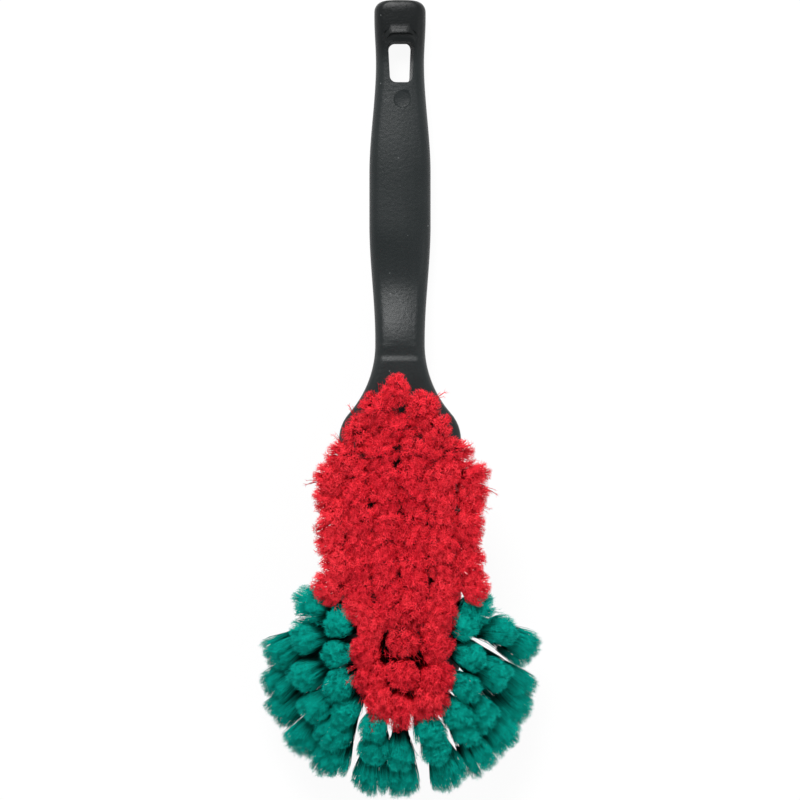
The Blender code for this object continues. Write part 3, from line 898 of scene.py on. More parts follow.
@dataclass(frozen=True)
class Combing:
    """How use has combed the tufts: how far each row's ends lie from their first places.

    The shifts are in millimetres, to the right and towards the handle. The bristles keep
    their length, so that a shift along a tuft's own lean moves its end less.
    """

    spread: float = 0.35 * MM
    shifts: dict[str, tuple[Point, ...]] = field(
        default_factory=lambda: {
            "red_row_01": ((0.8, 0.4), (1.0, 0.3), (0.0, 0.6), (-0.5, 0.4)),
            "red_row_02": (
                (-1.0, 0.0), (0.2, 0.7), (-0.3, -0.4), (0.0, 0.5), (1.8, 0.2), (2.4, 0.0),
            ),
            "red_row_03": (
                (2.2, 0.5), (0.9, 0.4), (-0.4, 0.6), (0.2, -0.3), (0.3, 0.3), (0.3, 0.0),
            ),
            "red_row_04": (
                (0.6, -0.5), (-0.2, 0.0), (-0.5, 0.4), (0.1, 0.2), (0.0, -0.4), (-1.0, 0.2),
            ),
            "red_row_05": (
                (1.5, 0.3), (0.2, -0.4), (-0.3, 0.2), (0.2, -0.6), (0.3, 0.3), (0.2, -0.3),
            ),
            "red_row_06": (
                (-1.8, 0.0), (-1.0, 0.3), (-0.6, 0.5), (0.2, 0.4), (0.3, -0.2), (1.7, 0.5),
            ),
            "red_row_07": (
                (-0.2, -0.4), (0.0, 0.2), (-0.3, -0.3), (-0.3, -0.5), (0.6, -0.6), (0.9, -0.2),
            ),
            "red_row_08": ((4.2, -0.8), (1.1, 0.6), (-0.5, 0.4), (-4.6, 0.0)),
            "red_row_09": ((4.8, -0.6), (-0.3, 1.2), (-5.8, 1.4)),
            "red_row_10": ((0.8, 0.4), (-1.3, 1.0)),
            "red_row_11": ((-1.6, -2.0),),
            "red_nose_middle": ((0.8, 2.2), (0.8, 2.2), (0.8, 1.2)),
            "red_nose_left": ((2.2, 3.0), (0.0, 3.0), (2.3, 2.3), (1.5, 2.3)),
            "red_nose_right": ((1.0, 2.3), (1.5, 2.3), (0.8, 3.9), (-0.4, 3.0)),
            "green_inner_left": ((2.3, 1.6), (0.0, 1.1), (-0.2, 0.3), (-3.5, -0.8)),
            "green_inner_front": ((-1.0, 2.0), (2.8, -0.5)),
            "green_inner_right": ((4.7, -2.2), (3.2, -1.2), (5.4, -1.0), (1.4, 0.4)),
            "green_middle_left": ((2.8, 4.8), (-0.8, 4.8), (-3.0, 1.6), (-2.0, 1.0)),
            "green_middle_front": ((-3.2, -0.1), (2.9, 2.1), (-0.4, 1.8), (1.2, 2.7), (3.4, 0.7)),
            "green_middle_right": ((2.8, -3.6), (3.0, 1.4), (8.8, 7.4), (-8.0, 3.8)),
            "green_outer_left": ((-4.0, -9.2), (-5.6, -9.6), (-13.2, -9.4), (-7.2, -7.4)),
            "green_outer_front": ((-1.2, 1.0), (3.8, 0.6), (0.8, -0.2), (5.8, 0.2), (8.4, 0.6)),
            "green_outer_right": ((7.6, -0.8), (9.8, -7.0), (8.6, -12.2), (8.8, -7.2)),
        }
    )

    def combed(self, row: TuftRow, length: float, chance: np.random.Generator) -> list[Tuft]:
        """The row's tufts with their ends moved.

        Args:
            row: The tufts as they were set.
            length: Their free length.
            chance: The row's random numbers.

        Returns:
            The same tufts with new leans.
        """
        made = []
        for tuft, (x, y) in zip(row.tufts, self.shifts[row.node], strict=True):
            stray = Vector((*chance.normal(0.0, self.spread, 2), 0.0))
            shift = Vector((x * MM, y * MM, 0.0)) + stray
            direction = (tuft.direction * length + shift).normalized()
            made.append(Tuft(tuft.foot, tuft.normal, direction))
        return made


# ---- The filament and its planting ----


@dataclass(frozen=True)
class FilamentMesh:
    """The filament as arrays: x and y are real offsets, z runs from 0 at the root to 1."""

    points: np.ndarray
    corners: np.ndarray
    counts: np.ndarray
    across: np.ndarray


@dataclass
class Filament:
    """One bristle: a three-sided stem whose upper part is split into hairs with fine barbs."""

    stem_radius: float = 0.13 * MM
    hair_radius: float = 0.13 * MM
    barb_radius: float = 0.10 * MM
    stem_levels: tuple[float, ...] = (0.0, 0.26, 0.56)
    stem_end: float = 0.78
    curve: float = 1.5
    hair_levels: tuple[float, ...] = (0.64, 0.87)
    hair_start_share: float = 0.06
    hair_ends: tuple[Triple, ...] = (
        (0.25, 0.10, 1.00),
        (1.25, 0.55, 0.975),
        (-0.95, 0.95, 0.985),
        (-0.30, -1.30, 0.965),
    )
    barbs: tuple[tuple[float, float, float, float, float, float], ...] = (
        (0.10, 0.05, 0.960, 0.90, -1.10, 0.990),
        (0.15, 0.08, 0.975, -1.30, -0.40, 0.985),
        (0.70, 0.30, 0.930, 1.10, 1.60, 0.965),
        (-0.55, 0.55, 0.940, -1.70, 1.00, 0.965),
        (-0.15, -0.80, 0.930, -1.30, -1.70, 0.955),
    )

    def model(self) -> FilamentMesh:
        """Models the filament in edit mode and reads it into arrays.

        Returns:
            The filament's points and faces, for copying.
        """
        Workbench.clear_selection()
        bpy.ops.mesh.primitive_circle_add(vertices=3, radius=self.stem_radius)
        piece = bpy.context.object
        bpy.ops.object.mode_set(mode="EDIT")
        bpy.ops.mesh.select_mode(type="VERT")
        bpy.ops.mesh.edge_face_add()
        self.pull(self.stem_levels, self.stem_end, (0.0, 0.0))
        share = self.hair_start_share
        for x, y, end in self.hair_ends:
            start = (x * share * MM, y * share * MM, self.hair_levels[0])
            self.start_spike(start, self.hair_radius)
            self.pull(self.hair_levels, end, (x * MM, y * MM))
        for x, y, start, end_x, end_y, end in self.barbs:
            self.start_spike((x * MM, y * MM, start), self.barb_radius)
            self.pull((start,), end, ((end_x - x) * MM, (end_y - y) * MM))
        bpy.ops.mesh.select_all(action="SELECT")
        bpy.ops.mesh.normals_make_consistent(inside=False)
        bpy.ops.object.mode_set(mode="OBJECT")
        made = self.read(piece.data)
        bpy.data.objects.remove(piece, do_unlink=True)
        return made

    @staticmethod
    def start_spike(place: Triple, radius: float) -> None:
        """Adds the triangle that a hair or barb is drawn out of, and leaves it selected."""
        bpy.ops.mesh.select_all(action="DESELECT")
        bpy.ops.mesh.primitive_circle_add(vertices=3, radius=radius, location=place)
        bpy.ops.mesh.edge_face_add()

    def pull(self, levels: Sequence[float], end: float, reach: Point) -> None:
        """Extrudes the selected triangle from level to level and draws its end to a point.

        Args:
            levels: Heights that the triangle passes, the first where it is now.
            end: The height of the point.
            reach: How far the point lies to the side.
        """
        reached = 0.0
        for start, level in zip(levels, (*levels[1:], end)):
            share = ((level - levels[0]) / (end - levels[0])) ** self.curve
            step = (reach[0] * (share - reached), reach[1] * (share - reached), level - start)
            bpy.ops.mesh.extrude_region_move(TRANSFORM_OT_translate={"value": step})
            reached = share
        bpy.ops.mesh.merge(type="CENTER")

    @staticmethod
    def read(mesh: bpy.types.Mesh) -> FilamentMesh:
        """The mesh as arrays, with how far round its side each face corner lies.

        Args:
            mesh: The modelled filament.

        Returns:
            Its points, face corners, corner counts and places across the map's band.
        """
        points = np.array([vertex.co[:] for vertex in mesh.vertices])
        corners = np.array([corner.vertex_index for corner in mesh.loops])
        counts = np.array([face.loop_total for face in mesh.polygons])
        across = np.zeros(len(corners))
        for face in mesh.polygons:
            heights = points[corners[face.loop_start : face.loop_start + face.loop_total], 2]
            low = heights <= heights.min() + LEVEL
            spread = np.linspace(0.0, 1.0, max(int(low.sum()), 2))
            places = np.where(low, spread[np.minimum(np.cumsum(low) - 1, len(spread) - 1)], 0.5)
            if face.loop_total == 4:
                turned = low[0] == low[1]
                places = np.array((0.0, 1.0, 1.0, 0.0) if turned else (0.0, 0.0, 1.0, 1.0))
            across[face.loop_start : face.loop_start + face.loop_total] = places
        return FilamentMesh(points, corners, counts, across)


@dataclass(frozen=True)
class Pad:
    """The soft pad that a tuft's split tips make: its size, and how uneven it is."""

    radius: float
    stretch: float = 1.0
    clumps: int = 13
    gather: float = 0.36
    dome: float = 0.085
    flare: float = 1.6
    dome_power: float = 2.5
    size_spread: float = 0.05
    clump_spread: float = 0.05
    tip_spread: float = 0.035
    reach_spread: float = 0.010
    longest: float = 1.01
    ripples: Keys = ((2, 0.10), (3, 0.08), (7, 0.05))
    clump_rise: float = 0.020
    rise: float = 0.018
    strays: float = 0.02
    stray_reach: tuple[float, float] = (1.3, 2.0)
    stray_edge: float = 1.0
    rim: float = 0.92
    rim_give: float = 0.35

    def tips(self, spots: np.ndarray, chance: np.random.Generator) -> tuple[np.ndarray, ...]:
        """Where the filaments end, gathered into clumps within an uneven outline.

        Args:
            spots: The filaments' even places on a disc of radius 1.
            chance: The row's random numbers.

        Returns:
            Their places across the tuft, their reach as a share of its length, and how far
            out their hairs stay within the pad.
        """
        middles = sunflower(self.clumps, chance)
        middles = middles + chance.normal(0.0, self.clump_spread, (self.clumps, 2))
        nearest = np.argmin(((spots[:, None] - middles[None]) ** 2).sum(2), axis=1)
        places = spots + self.gather * (middles[nearest] - spots)
        places = places + chance.normal(0.0, self.tip_spread, spots.shape)
        angle = np.arctan2(places[:, 1], places[:, 0])
        outline = np.ones(len(spots))
        for waves, height in self.ripples:
            outline += height * np.sin(waves * angle + chance.uniform(0.0, ANY_TURN))
        stray = chance.random(len(spots)) < self.strays
        distance = np.hypot(places[:, 0], places[:, 1])
        clump_reach = chance.normal(0.0, self.clump_rise, self.clumps)
        reach = 1.0 + chance.normal(0.0, self.rise) - self.dome * distance**self.dome_power
        jitter = chance.normal(0.0, self.reach_spread, len(spots))
        reach = reach + clump_reach[nearest] + jitter
        far = np.where(stray, chance.uniform(*self.stray_reach, len(spots)), 1.0)
        outline = outline * chance.normal(1.0, self.size_spread)
        tips = self.radius * (outline * far)[:, None] * places
        edge = np.where(stray, self.stray_edge, self.rim * self.radius * outline)
        return tips, np.minimum(reach, self.longest), edge

    def trim(self, across: np.ndarray, edge: np.ndarray) -> np.ndarray:
        """Draws the hairs that stand out past the pad's edge back towards it.

        Args:
            across: Points beside the tuft's middle line.
            edge: How far out each filament's hairs stay.

        Returns:
            The points, drawn in.
        """
        out = np.hypot(across[..., 0], across[..., 1])
        kept = np.minimum(out, edge[:, None] + self.rim_give * (out - edge[:, None]))
        drawn = across * (kept / np.maximum(out, TINY))[..., None]
        return drawn * (1.0 / self.stretch, self.stretch)


def sunflower(count: int, chance: np.random.Generator) -> np.ndarray:
    """Even places on a disc of radius 1, turned by chance."""
    golden = 3.0 - math.sqrt(5.0)
    angle = np.arange(count) * math.pi * golden + chance.uniform(0.0, ANY_TURN)
    rank = np.sqrt((np.arange(count) + 0.5) / count)
    return rank[:, None] * np.stack((np.cos(angle), np.sin(angle)), 1)


@dataclass
class TuftPlanter:
    """Plants rows of tufts with copies of one filament.

    Each foot starts sunk in its hole. The places along a filament, such as where its hairs
    start to spread and where their shading starts to turn to the pad's, are shares of it.
    """

    filament: FilamentMesh
    length: float = 42.0 * MM
    filaments: int = 190
    root_radius: float = 1.3 * MM
    red_pad: Pad = Pad(7.5 * MM, stretch=1.08)
    top_pad: Pad = Pad(7.8 * MM)
    green_pad: Pad = Pad(6.8 * MM, dome=0.11, strays=0.006)
    outer_pad: Pad = Pad(8.2 * MM, dome=0.05, flare=1.1, clump_rise=0.010, strays=0.0)
    top_rows: tuple[str, ...] = ("red_row_08", "red_row_09", "red_row_10", "red_row_11")
    combing: Combing = field(default_factory=Combing)
    sunk: float = 1.8 * MM
    sunk_share: float = 0.08
    crimp: float = 0.35 * MM
    crimp_waves: tuple[float, float] = (1.6, 3.0)
    split_from: float = 0.8
    split_spread: tuple[float, float] = (0.75, 1.25)
    lean_light: float = 0.9
    soft_from: float = 0.5
    soft_over: float = 0.35
    softness: float = 0.65
    bands: int = 64
    band_margin: float = 0.2
    map_margin: float = 0.01

    def plant(self, row: TuftRow, seed: int, material: bpy.types.Material) -> bpy.types.Object:
        """Makes the piece of one row and puts it in the place of its node.

        Args:
            row: The row's tufts, node and finish.
            seed: Starts the row's own random numbers.
            material: The bristles' finish.

        Returns:
            The finished piece.
        """
        chance = np.random.default_rng(seed)
        points = []
        faces_out = []
        tones = []
        for index, tuft in enumerate(self.combing.combed(row, self.length, chance)):
            placed, outward = self.tuft_points(tuft, self.pad(row), chance)
            points.append(placed)
            faces_out.append(outward)
            tones.append(self.tuft_tones(index, len(row.tufts), chance))
        piece = self.assemble(f"{row.node}_bristles", np.concatenate(points), np.concatenate(tones))
        piece.data.materials.append(material)
        piece.data.shade_smooth()
        self.soften(piece.data, np.concatenate(faces_out))
        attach(piece, "root")
        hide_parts(row.node)
        return piece

    def pad(self, row: TuftRow) -> Pad:
        """The form of a row's tips."""
        if row.node in self.top_rows or row.node == "red_nose_middle":
            return self.top_pad
        if row.finish is Finish.RED:
            return self.red_pad
        return self.outer_pad if "outer" in row.node else self.green_pad

    def tuft_points(
        self, tuft: Tuft, pad: Pad, chance: np.random.Generator
    ) -> tuple[np.ndarray, np.ndarray]:
        """The points of all filaments of one tuft.

        Args:
            tuft: Where it stands and leans.
            pad: The form of its tips.
            chance: The row's random numbers.

        Returns:
            The points, as filaments by points by three, and the pad's outward way at each.
        """
        count = self.filaments
        spots = sunflower(count, chance)
        root = self.root_radius * spots
        tip, reach, edge = pad.tips(spots, chance)
        side = np.array(Vector((0.0, 1.0, 0.0)).cross(tuft.direction).normalized())
        lean = np.array(tuft.direction)
        other = np.cross(lean, side)
        shape = self.filament.points
        share = shape[None, :, 2]
        turn = chance.uniform(0.0, 2.0 * math.pi, count)[:, None]
        grow = chance.uniform(*self.split_spread, count)[:, None]
        split = np.where(share > self.split_from, grow, 1.0)
        x = split * (shape[:, 0] * np.cos(turn) - shape[:, 1] * np.sin(turn))
        y = split * (shape[:, 0] * np.sin(turn) + shape[:, 1] * np.cos(turn))
        spread = share**pad.flare
        phase = chance.uniform(0.0, 2.0 * math.pi, (2, count, 1))
        waves = chance.uniform(*self.crimp_waves, (2, count, 1))
        sway = self.crimp * share * np.sin(phase + waves * 2.0 * math.pi * share)
        x = x + root[:, :1] + (tip - root)[:, :1] * spread + sway[0]
        y = y + root[:, 1:] + (tip - root)[:, 1:] * spread + sway[1]
        beside = pad.trim(np.stack((x, y), -1), edge)
        along = self.length * reach[:, None] * share
        sunk = np.array(tuft.normal) * self.sunk
        start = np.array(tuft.foot) - sunk
        rise = np.minimum(share / self.sunk_share, 1.0)[..., None] * sunk
        across = beside[..., :1] * side + beside[..., 1:] * other
        outward = across / pad.radius + self.lean_light * lean
        return start + rise + across + along[..., None] * lean, outward

    def soften(self, mesh: bpy.types.Mesh, outward: np.ndarray) -> None:
        """Turns the split hairs' shading towards the pad's, as light passes through them.

        Args:
            mesh: The row's mesh.
            outward: The pad's outward way at each point.
        """
        hair = np.empty(3 * len(mesh.vertices), np.float32)
        mesh.vertices.foreach_get("normal", hair)
        hair = hair.reshape(-1, 3)
        copies = len(mesh.vertices) // len(self.filament.points)
        height = np.tile(self.filament.points[:, 2], copies)
        share = np.clip((height - self.soft_from) / self.soft_over, 0.0, 1.0)[:, None]
        outward = outward.reshape(-1, 3)
        outward = outward / np.linalg.norm(outward, axis=1, keepdims=True)
        mixed = hair * (1.0 - self.softness * share) + outward * self.softness * share
        mixed /= np.maximum(np.linalg.norm(mixed, axis=1, keepdims=True), TINY)
        mesh.normals_split_custom_set_from_vertices(mixed.tolist())

    def tuft_tones(self, index: int, tufts: int, chance: np.random.Generator) -> np.ndarray:
        """Which band of the map each filament of a tuft takes its tone from.

        Args:
            index: The tuft's place in its row.
            tufts: How many tufts the row has.
            chance: The row's random numbers.

        Returns:
            A band number for each filament.
        """
        width = self.bands / tufts
        return np.floor((index + chance.uniform(0.0, 1.0, self.filaments)) * width)

    def assemble(self, name: str, points: np.ndarray, tones: np.ndarray) -> bpy.types.Object:
        """One mesh of all the filaments, with its own map of tone and length.

        Args:
            name: What the piece is called.
            points: The filaments' points.
            tones: The filaments' bands on the map.

        Returns:
            The piece.
        """
        shape = self.filament
        copies, each = points.shape[:2]
        corners = (shape.corners[None, :] + each * np.arange(copies)[:, None]).ravel()
        counts = np.tile(shape.counts, copies)
        starts = np.concatenate(([0], np.cumsum(counts)[:-1]))
        mesh = bpy.data.meshes.new(name)
        mesh.vertices.add(copies * each)
        mesh.vertices.foreach_set("co", points.reshape(-1).astype(np.float32))
        mesh.loops.add(len(corners))
        mesh.loops.foreach_set("vertex_index", corners.astype(np.int32))
        mesh.polygons.add(len(counts))
        mesh.polygons.foreach_set("loop_start", starts.astype(np.int32))
        mesh.update(calc_edges=True)
        inside = 1.0 - 2.0 * self.band_margin
        band = (tones[:, None] + self.band_margin + inside * shape.across[None, :]) / self.bands
        height = np.tile(shape.points[shape.corners, 2], copies)
        height = self.map_margin + (1.0 - 2.0 * self.map_margin) * height
        places = np.stack((band.ravel(), height), 1)
        uv = mesh.uv_layers.new(name=BRISTLE_MAP)
        uv.data.foreach_set("uv", places.ravel().astype(np.float32))
        piece = bpy.data.objects.new(name, mesh)
        bpy.context.scene.collection.objects.link(piece)
        return piece


# ---- Finishes ----


@dataclass
class NodeBoard:
    """The nodes of a material or a world, with short calls to add and join them."""

    owner: bpy.types.Material | bpy.types.World

    @classmethod
    def new(cls, name: str) -> NodeBoard:
        """Starts a material with only its Principled shader and output."""
        material = bpy.data.materials.new(name)
        material.use_nodes = True
        return cls(material)

    def node(self, name: str) -> bpy.types.Node:
        """The node of this name."""
        return self.owner.node_tree.nodes[name]

    def feed(self, socket: bpy.types.NodeSocket, value: object) -> None:
        """Gives an input its value, or links it to another node's output.

        Args:
            socket: The input.
            value: A number, a vector, the three parts of a colour, or an output.
        """
        if isinstance(value, bpy.types.NodeSocket):
            self.owner.node_tree.links.new(value, socket)
        elif socket.type == "RGBA":
            socket.default_value = (*value, 1.0)
        else:
            socket.default_value = value

    def dress(self, **values: object) -> None:
        """Feeds the Principled shader's inputs, by their names."""
        for name, value in values.items():
            self.feed(self.node(SHADER).inputs[name.replace("_", " ")], value)

    def add(self, kind: str, **settings: object) -> bpy.types.Node:
        """Adds a node.

        Args:
            kind: Its type.
            **settings: Its own properties, or what feeds its inputs by their names.

        Returns:
            The node.
        """
        node = self.owner.node_tree.nodes.new(kind)
        for name, value in settings.items():
            if hasattr(node, name):
                setattr(node, name, value)
            else:
                self.feed(node.inputs[name.replace("_", " ")], value)
        return node

    def axes(self, place: bpy.types.NodeSocket) -> bpy.types.NodeOutputs:
        """The X, Y and Z of a vector, by these names."""
        return self.add("ShaderNodeSeparateXYZ", Vector=place).outputs

    def math(self, operation: str, *inputs: float | bpy.types.NodeSocket) -> bpy.types.NodeSocket:
        """A Math node of these inputs, linked or plain numbers.

        Args:
            operation: What it works out.
            *inputs: Its inputs in order.

        Returns:
            Its output.
        """
        node = self.add("ShaderNodeMath", operation=operation)
        for socket, value in zip(node.inputs, inputs):
            self.feed(socket, value)
        return node.outputs[0]

    def ramp(
        self, factor: bpy.types.NodeSocket, stops: Sequence[tuple[float, Triple]]
    ) -> bpy.types.NodeSocket:
        """A colour ramp.

        Args:
            factor: What it reads.
            stops: Its places, each with a colour.

        Returns:
            Its colour.
        """
        node = self.add("ShaderNodeValToRGB", Fac=factor)
        elements = node.color_ramp.elements
        while len(elements) < len(stops):
            elements.new(0.5)
        for element, (place, colour) in zip(elements, stops):
            element.position = place
            element.color = (*colour, 1.0)
        return node.outputs["Color"]

    def mix(
        self,
        factor: float | bpy.types.NodeSocket,
        first: Triple | bpy.types.NodeSocket,
        second: Triple | bpy.types.NodeSocket,
        blend: str = "MIX",
    ) -> bpy.types.NodeSocket:
        """A colour mix.

        Args:
            factor: How much of the second colour.
            first: The first colour or its source.
            second: The second colour or its source.
            blend: How they are mixed.

        Returns:
            The mixed colour.
        """
        node = self.add("ShaderNodeMix", data_type="RGBA", blend_type=blend)
        for name, value in (("Factor_Float", factor), ("A_Color", first), ("B_Color", second)):
            self.feed(next(s for s in node.inputs if s.identifier == name), value)
        return next(s for s in node.outputs if s.identifier == "Result_Color")


@dataclass(frozen=True)
class Noise:
    """A noise texture: how fine it is, its finer layers and how much each axis counts."""

    scale: float
    detail: float
    stretch: Triple = (1.0, 1.0, 1.0)
    roughness: float = 0.55

    def on(self, board: NodeBoard, place: bpy.types.NodeSocket) -> bpy.types.NodeSocket:
        """Adds the texture to a material.

        Args:
            board: The material's nodes.
            place: The coordinates that it reads.

        Returns:
            Its value.
        """
        mapping = board.add("ShaderNodeMapping", Vector=place, Scale=self.stretch)
        noise = board.add(
            "ShaderNodeTexNoise",
            Vector=mapping.outputs["Vector"],
            Scale=self.scale,
            Detail=self.detail,
            Roughness=self.roughness,
        )
        return noise.outputs["Fac"]


@dataclass(frozen=True)
class Dust:
    """Tiny pale specks: how close together, how large, how many of them and how strong."""

    scale: float = 260.0
    reach: float = 0.075
    left_out: float = 0.82
    strength: float = 0.55
    colour: Triple = (0.16, 0.17, 0.17)

    def mask(self, board: NodeBoard, place: bpy.types.NodeSocket) -> bpy.types.NodeSocket:
        """Adds the specks to a material.

        Args:
            board: The material's nodes.
            place: The object coordinates.

        Returns:
            How strong the dust is at a place.
        """
        cells = board.add("ShaderNodeTexVoronoi", Vector=place, Scale=self.scale, Randomness=1.0)
        near = board.math("LESS_THAN", cells.outputs["Distance"], self.reach)
        split = board.add("ShaderNodeSeparateColor", Color=cells.outputs["Color"])
        chosen = board.math("GREATER_THAN", split.outputs[0], self.left_out)
        return board.math("MULTIPLY", board.math("MULTIPLY", near, chosen), self.strength)


@dataclass(frozen=True)
class Scratch:
    """A fine straight scratch on the moulding, seen from above."""

    start: Point
    end: Point
    half_width: float
    strength: float = 0.3

    def mask(self, board: NodeBoard, place: bpy.types.NodeSocket) -> bpy.types.NodeSocket:
        """Adds the scratch to a material.

        Args:
            board: The material's nodes.
            place: The object coordinates.

        Returns:
            How strong the scratch is at a place.
        """
        (x0, y0), (x1, y1) = self.start, self.end
        mapping = board.add(
            "ShaderNodeMapping",
            vector_type="TEXTURE",
            Vector=place,
            Location=((x0 + x1) / 2.0, (y0 + y1) / 2.0, 0.0),
            Rotation=(0.0, 0.0, math.atan2(y1 - y0, x1 - x0)),
        )
        axes = board.axes(mapping.outputs["Vector"])
        half_length = math.hypot(x1 - x0, y1 - y0) / 2.0
        inside = board.math("LESS_THAN", board.math("ABSOLUTE", axes["X"]), half_length)
        thin = board.math("LESS_THAN", board.math("ABSOLUTE", axes["Y"]), self.half_width)
        return board.math("MULTIPLY", board.math("MULTIPLY", inside, thin), self.strength)


@dataclass(frozen=True)
class MouldedBlack:
    """Black polypropylene with a fine moulded grain, flow streaks, dust and a few scratches.

    The handle's end is painted darker than the grip: painted shade for how the light falls on it.
    """

    # A darker black painted on the handle's end as painted shade.
    painted_end_shade: Triple = (0.0008, 0.0022, 0.0025)
    colour: Triple = (0.0050, 0.0080, 0.0085)
    worn: Triple = (0.0130, 0.0170, 0.0175)
    tone_range: tuple[float, float] = (0.22, 0.68)
    # Where along Y the painted shade on the handle's end is full, and where it starts.
    end_shade_full: float = 0.247
    end_shade_start: float = 0.238
    roughness: float = 0.36
    roughness_spread: float = 0.10
    grain: Noise = Noise(1800.0, 3.0)
    cloud: Noise = Noise(55.0, 3.0)
    streak: Noise = Noise(420.0, 2.0, (1.0, 0.03, 0.3))
    pebble: Noise = Noise(750.0, 2.0)
    grain_share: float = 0.28
    cloud_share: float = 0.35
    streak_share: float = 0.22
    bump_grain_share: float = 0.25
    bump_strength: float = 0.7
    bump_depth: float = 0.14 * MM
    dust: Dust = Dust()
    scratch_colour: Triple = (0.10, 0.11, 0.11)
    scratches: tuple[Scratch, ...] = (
        Scratch((-0.0068, 0.2238), (-0.0040, 0.2256), 0.12 * MM),
        Scratch((-0.0032, 0.1492), (0.0050, 0.1335), 0.10 * MM),
    )

    def material(self) -> bpy.types.Material:
        """The finish as a material on object coordinates."""
        board = NodeBoard.new("black_plastic_finish")
        place = board.add("ShaderNodeTexCoord").outputs["Object"]
        grain = self.grain.on(board, place)
        cloud = self.cloud.on(board, place)
        tone = board.math("MULTIPLY", cloud, self.cloud_share)
        tone = board.math("MULTIPLY_ADD", self.streak.on(board, place), self.streak_share, tone)
        tone = board.math("MULTIPLY_ADD", grain, self.grain_share, tone)
        shade = board.ramp(tone, tuple(zip(self.tone_range, (self.colour, self.worn))))
        # Painted shade: the handle's end blends into the darker black.
        end_shade_share = board.math("SUBTRACT", board.axes(place)["Y"], self.end_shade_start)
        end_shade_share = board.math("DIVIDE", end_shade_share, self.end_shade_full - self.end_shade_start)
        end_shade_share = board.math("MINIMUM", board.math("MAXIMUM", end_shade_share, 0.0), 1.0)
        shade = board.mix(end_shade_share, shade, self.painted_end_shade)
        shade = board.mix(self.dust.mask(board, place), shade, self.dust.colour)
        for scratch in self.scratches:
            shade = board.mix(scratch.mask(board, place), shade, self.scratch_colour)
        least = self.roughness - self.roughness_spread / 2.0
        rough = board.math("MULTIPLY_ADD", cloud, self.roughness_spread, least)
        rough = board.math("MULTIPLY_ADD", grain, self.roughness_spread, rough)
        pebble = self.pebble.on(board, place)
        height = board.math("MULTIPLY_ADD", grain, self.bump_grain_share, pebble)
        bump = board.add(
            "ShaderNodeBump",
            Height=height,
            Strength=self.bump_strength,
            Distance=self.bump_depth,
        )
        board.dress(Base_Color=shade, Roughness=rough, Normal=bump.outputs["Normal"])
        board.dress(IOR=1.49, Specular_IOR_Level=0.28)
        return board.owner


@dataclass(frozen=True)
class SplitBristle:
    """Soft split filaments, darker towards the root and paler where they are split: partly the
    split ends' own paleness, partly painted shade deep in the tufts.

    Each filament has a tone of its own and each tuft a lighter or darker cast. Warmth is how
    much yellower the pale filaments are than the dark ones, about the usual light.
    """

    finish: Finish
    # The root and stem colours are darkened as painted shade deep in the tufts; the pale tip is
    # partly the split ends' own paleness.
    root: Triple
    stem: Triple
    tip: Triple
    warmth: float = 0.0
    stem_place: float = 0.70
    tip_place: float = 0.97
    filament_scale: float = 46.0
    filament_contrast: float = 1.1
    darkest: float = 0.42
    tuft_scale: float = 9.0
    tuft_contrast: float = 0.24
    usual_light: float = 1.47
    blue_share: float = 0.5
    roughness: float = 0.45
    tip_roughness_rise: float = 0.25

    def material(self) -> bpy.types.Material:
        """The finish as a material on the bristles' own map."""
        board = NodeBoard.new(f"{self.finish.value}_finish")
        place = board.add("ShaderNodeUVMap", uv_map=BRISTLE_MAP).outputs["UV"]
        axes = board.axes(place)
        # The ramp along each filament paints shade on its root and stem and pales its split tip.
        stops = ((0.0, self.root), (self.stem_place, self.stem), (self.tip_place, self.tip))
        shade = board.ramp(axes["Y"], stops)
        tone = self.tone(board, axes["X"], self.filament_scale)
        tuft = self.tone(board, axes["X"], self.tuft_scale)
        light = board.math("MULTIPLY_ADD", tone, self.filament_contrast, self.darkest)
        light = board.math("SUBTRACT", light, self.tuft_contrast / 2.0)
        light = board.math("MULTIPLY_ADD", tuft, self.tuft_contrast, light)
        warm = board.math("ADD", light, tuft)
        least = 1.0 - self.usual_light * self.warmth
        green = board.math("MULTIPLY_ADD", warm, self.warmth, least)
        blue = board.math("MULTIPLY_ADD", green, self.blue_share, 1.0 - self.blue_share)
        cast = board.add(
            "ShaderNodeCombineColor",
            Red=light,
            Green=board.math("MULTIPLY", light, green),
            Blue=board.math("MULTIPLY", light, blue),
        )
        shade = board.mix(1.0, shade, cast.outputs["Color"], "MULTIPLY")
        rough = board.math("MULTIPLY_ADD", axes["Y"], self.tip_roughness_rise, self.roughness)
        board.dress(Base_Color=shade, Roughness=rough, IOR=1.45, Specular_IOR_Level=0.06)
        return board.owner

    @staticmethod
    def tone(
        board: NodeBoard, across: bpy.types.NodeSocket, scale: float
    ) -> bpy.types.NodeSocket:
        """A value that changes across the map and stays the same along a filament.

        Args:
            board: The material's nodes.
            across: The map's place across its bands.
            scale: How quickly it changes.

        Returns:
            Its value.
        """
        kind = "ShaderNodeTexNoise"
        noise = board.add(kind, noise_dimensions="1D", W=across, Scale=scale, Detail=1.0)
        return noise.outputs["Fac"]


# ---- The studio ----


@dataclass(frozen=True)
class Softbox:
    """A square soft lamp that faces the middle of the brush."""

    name: str
    place: Triple
    size: float
    power: float


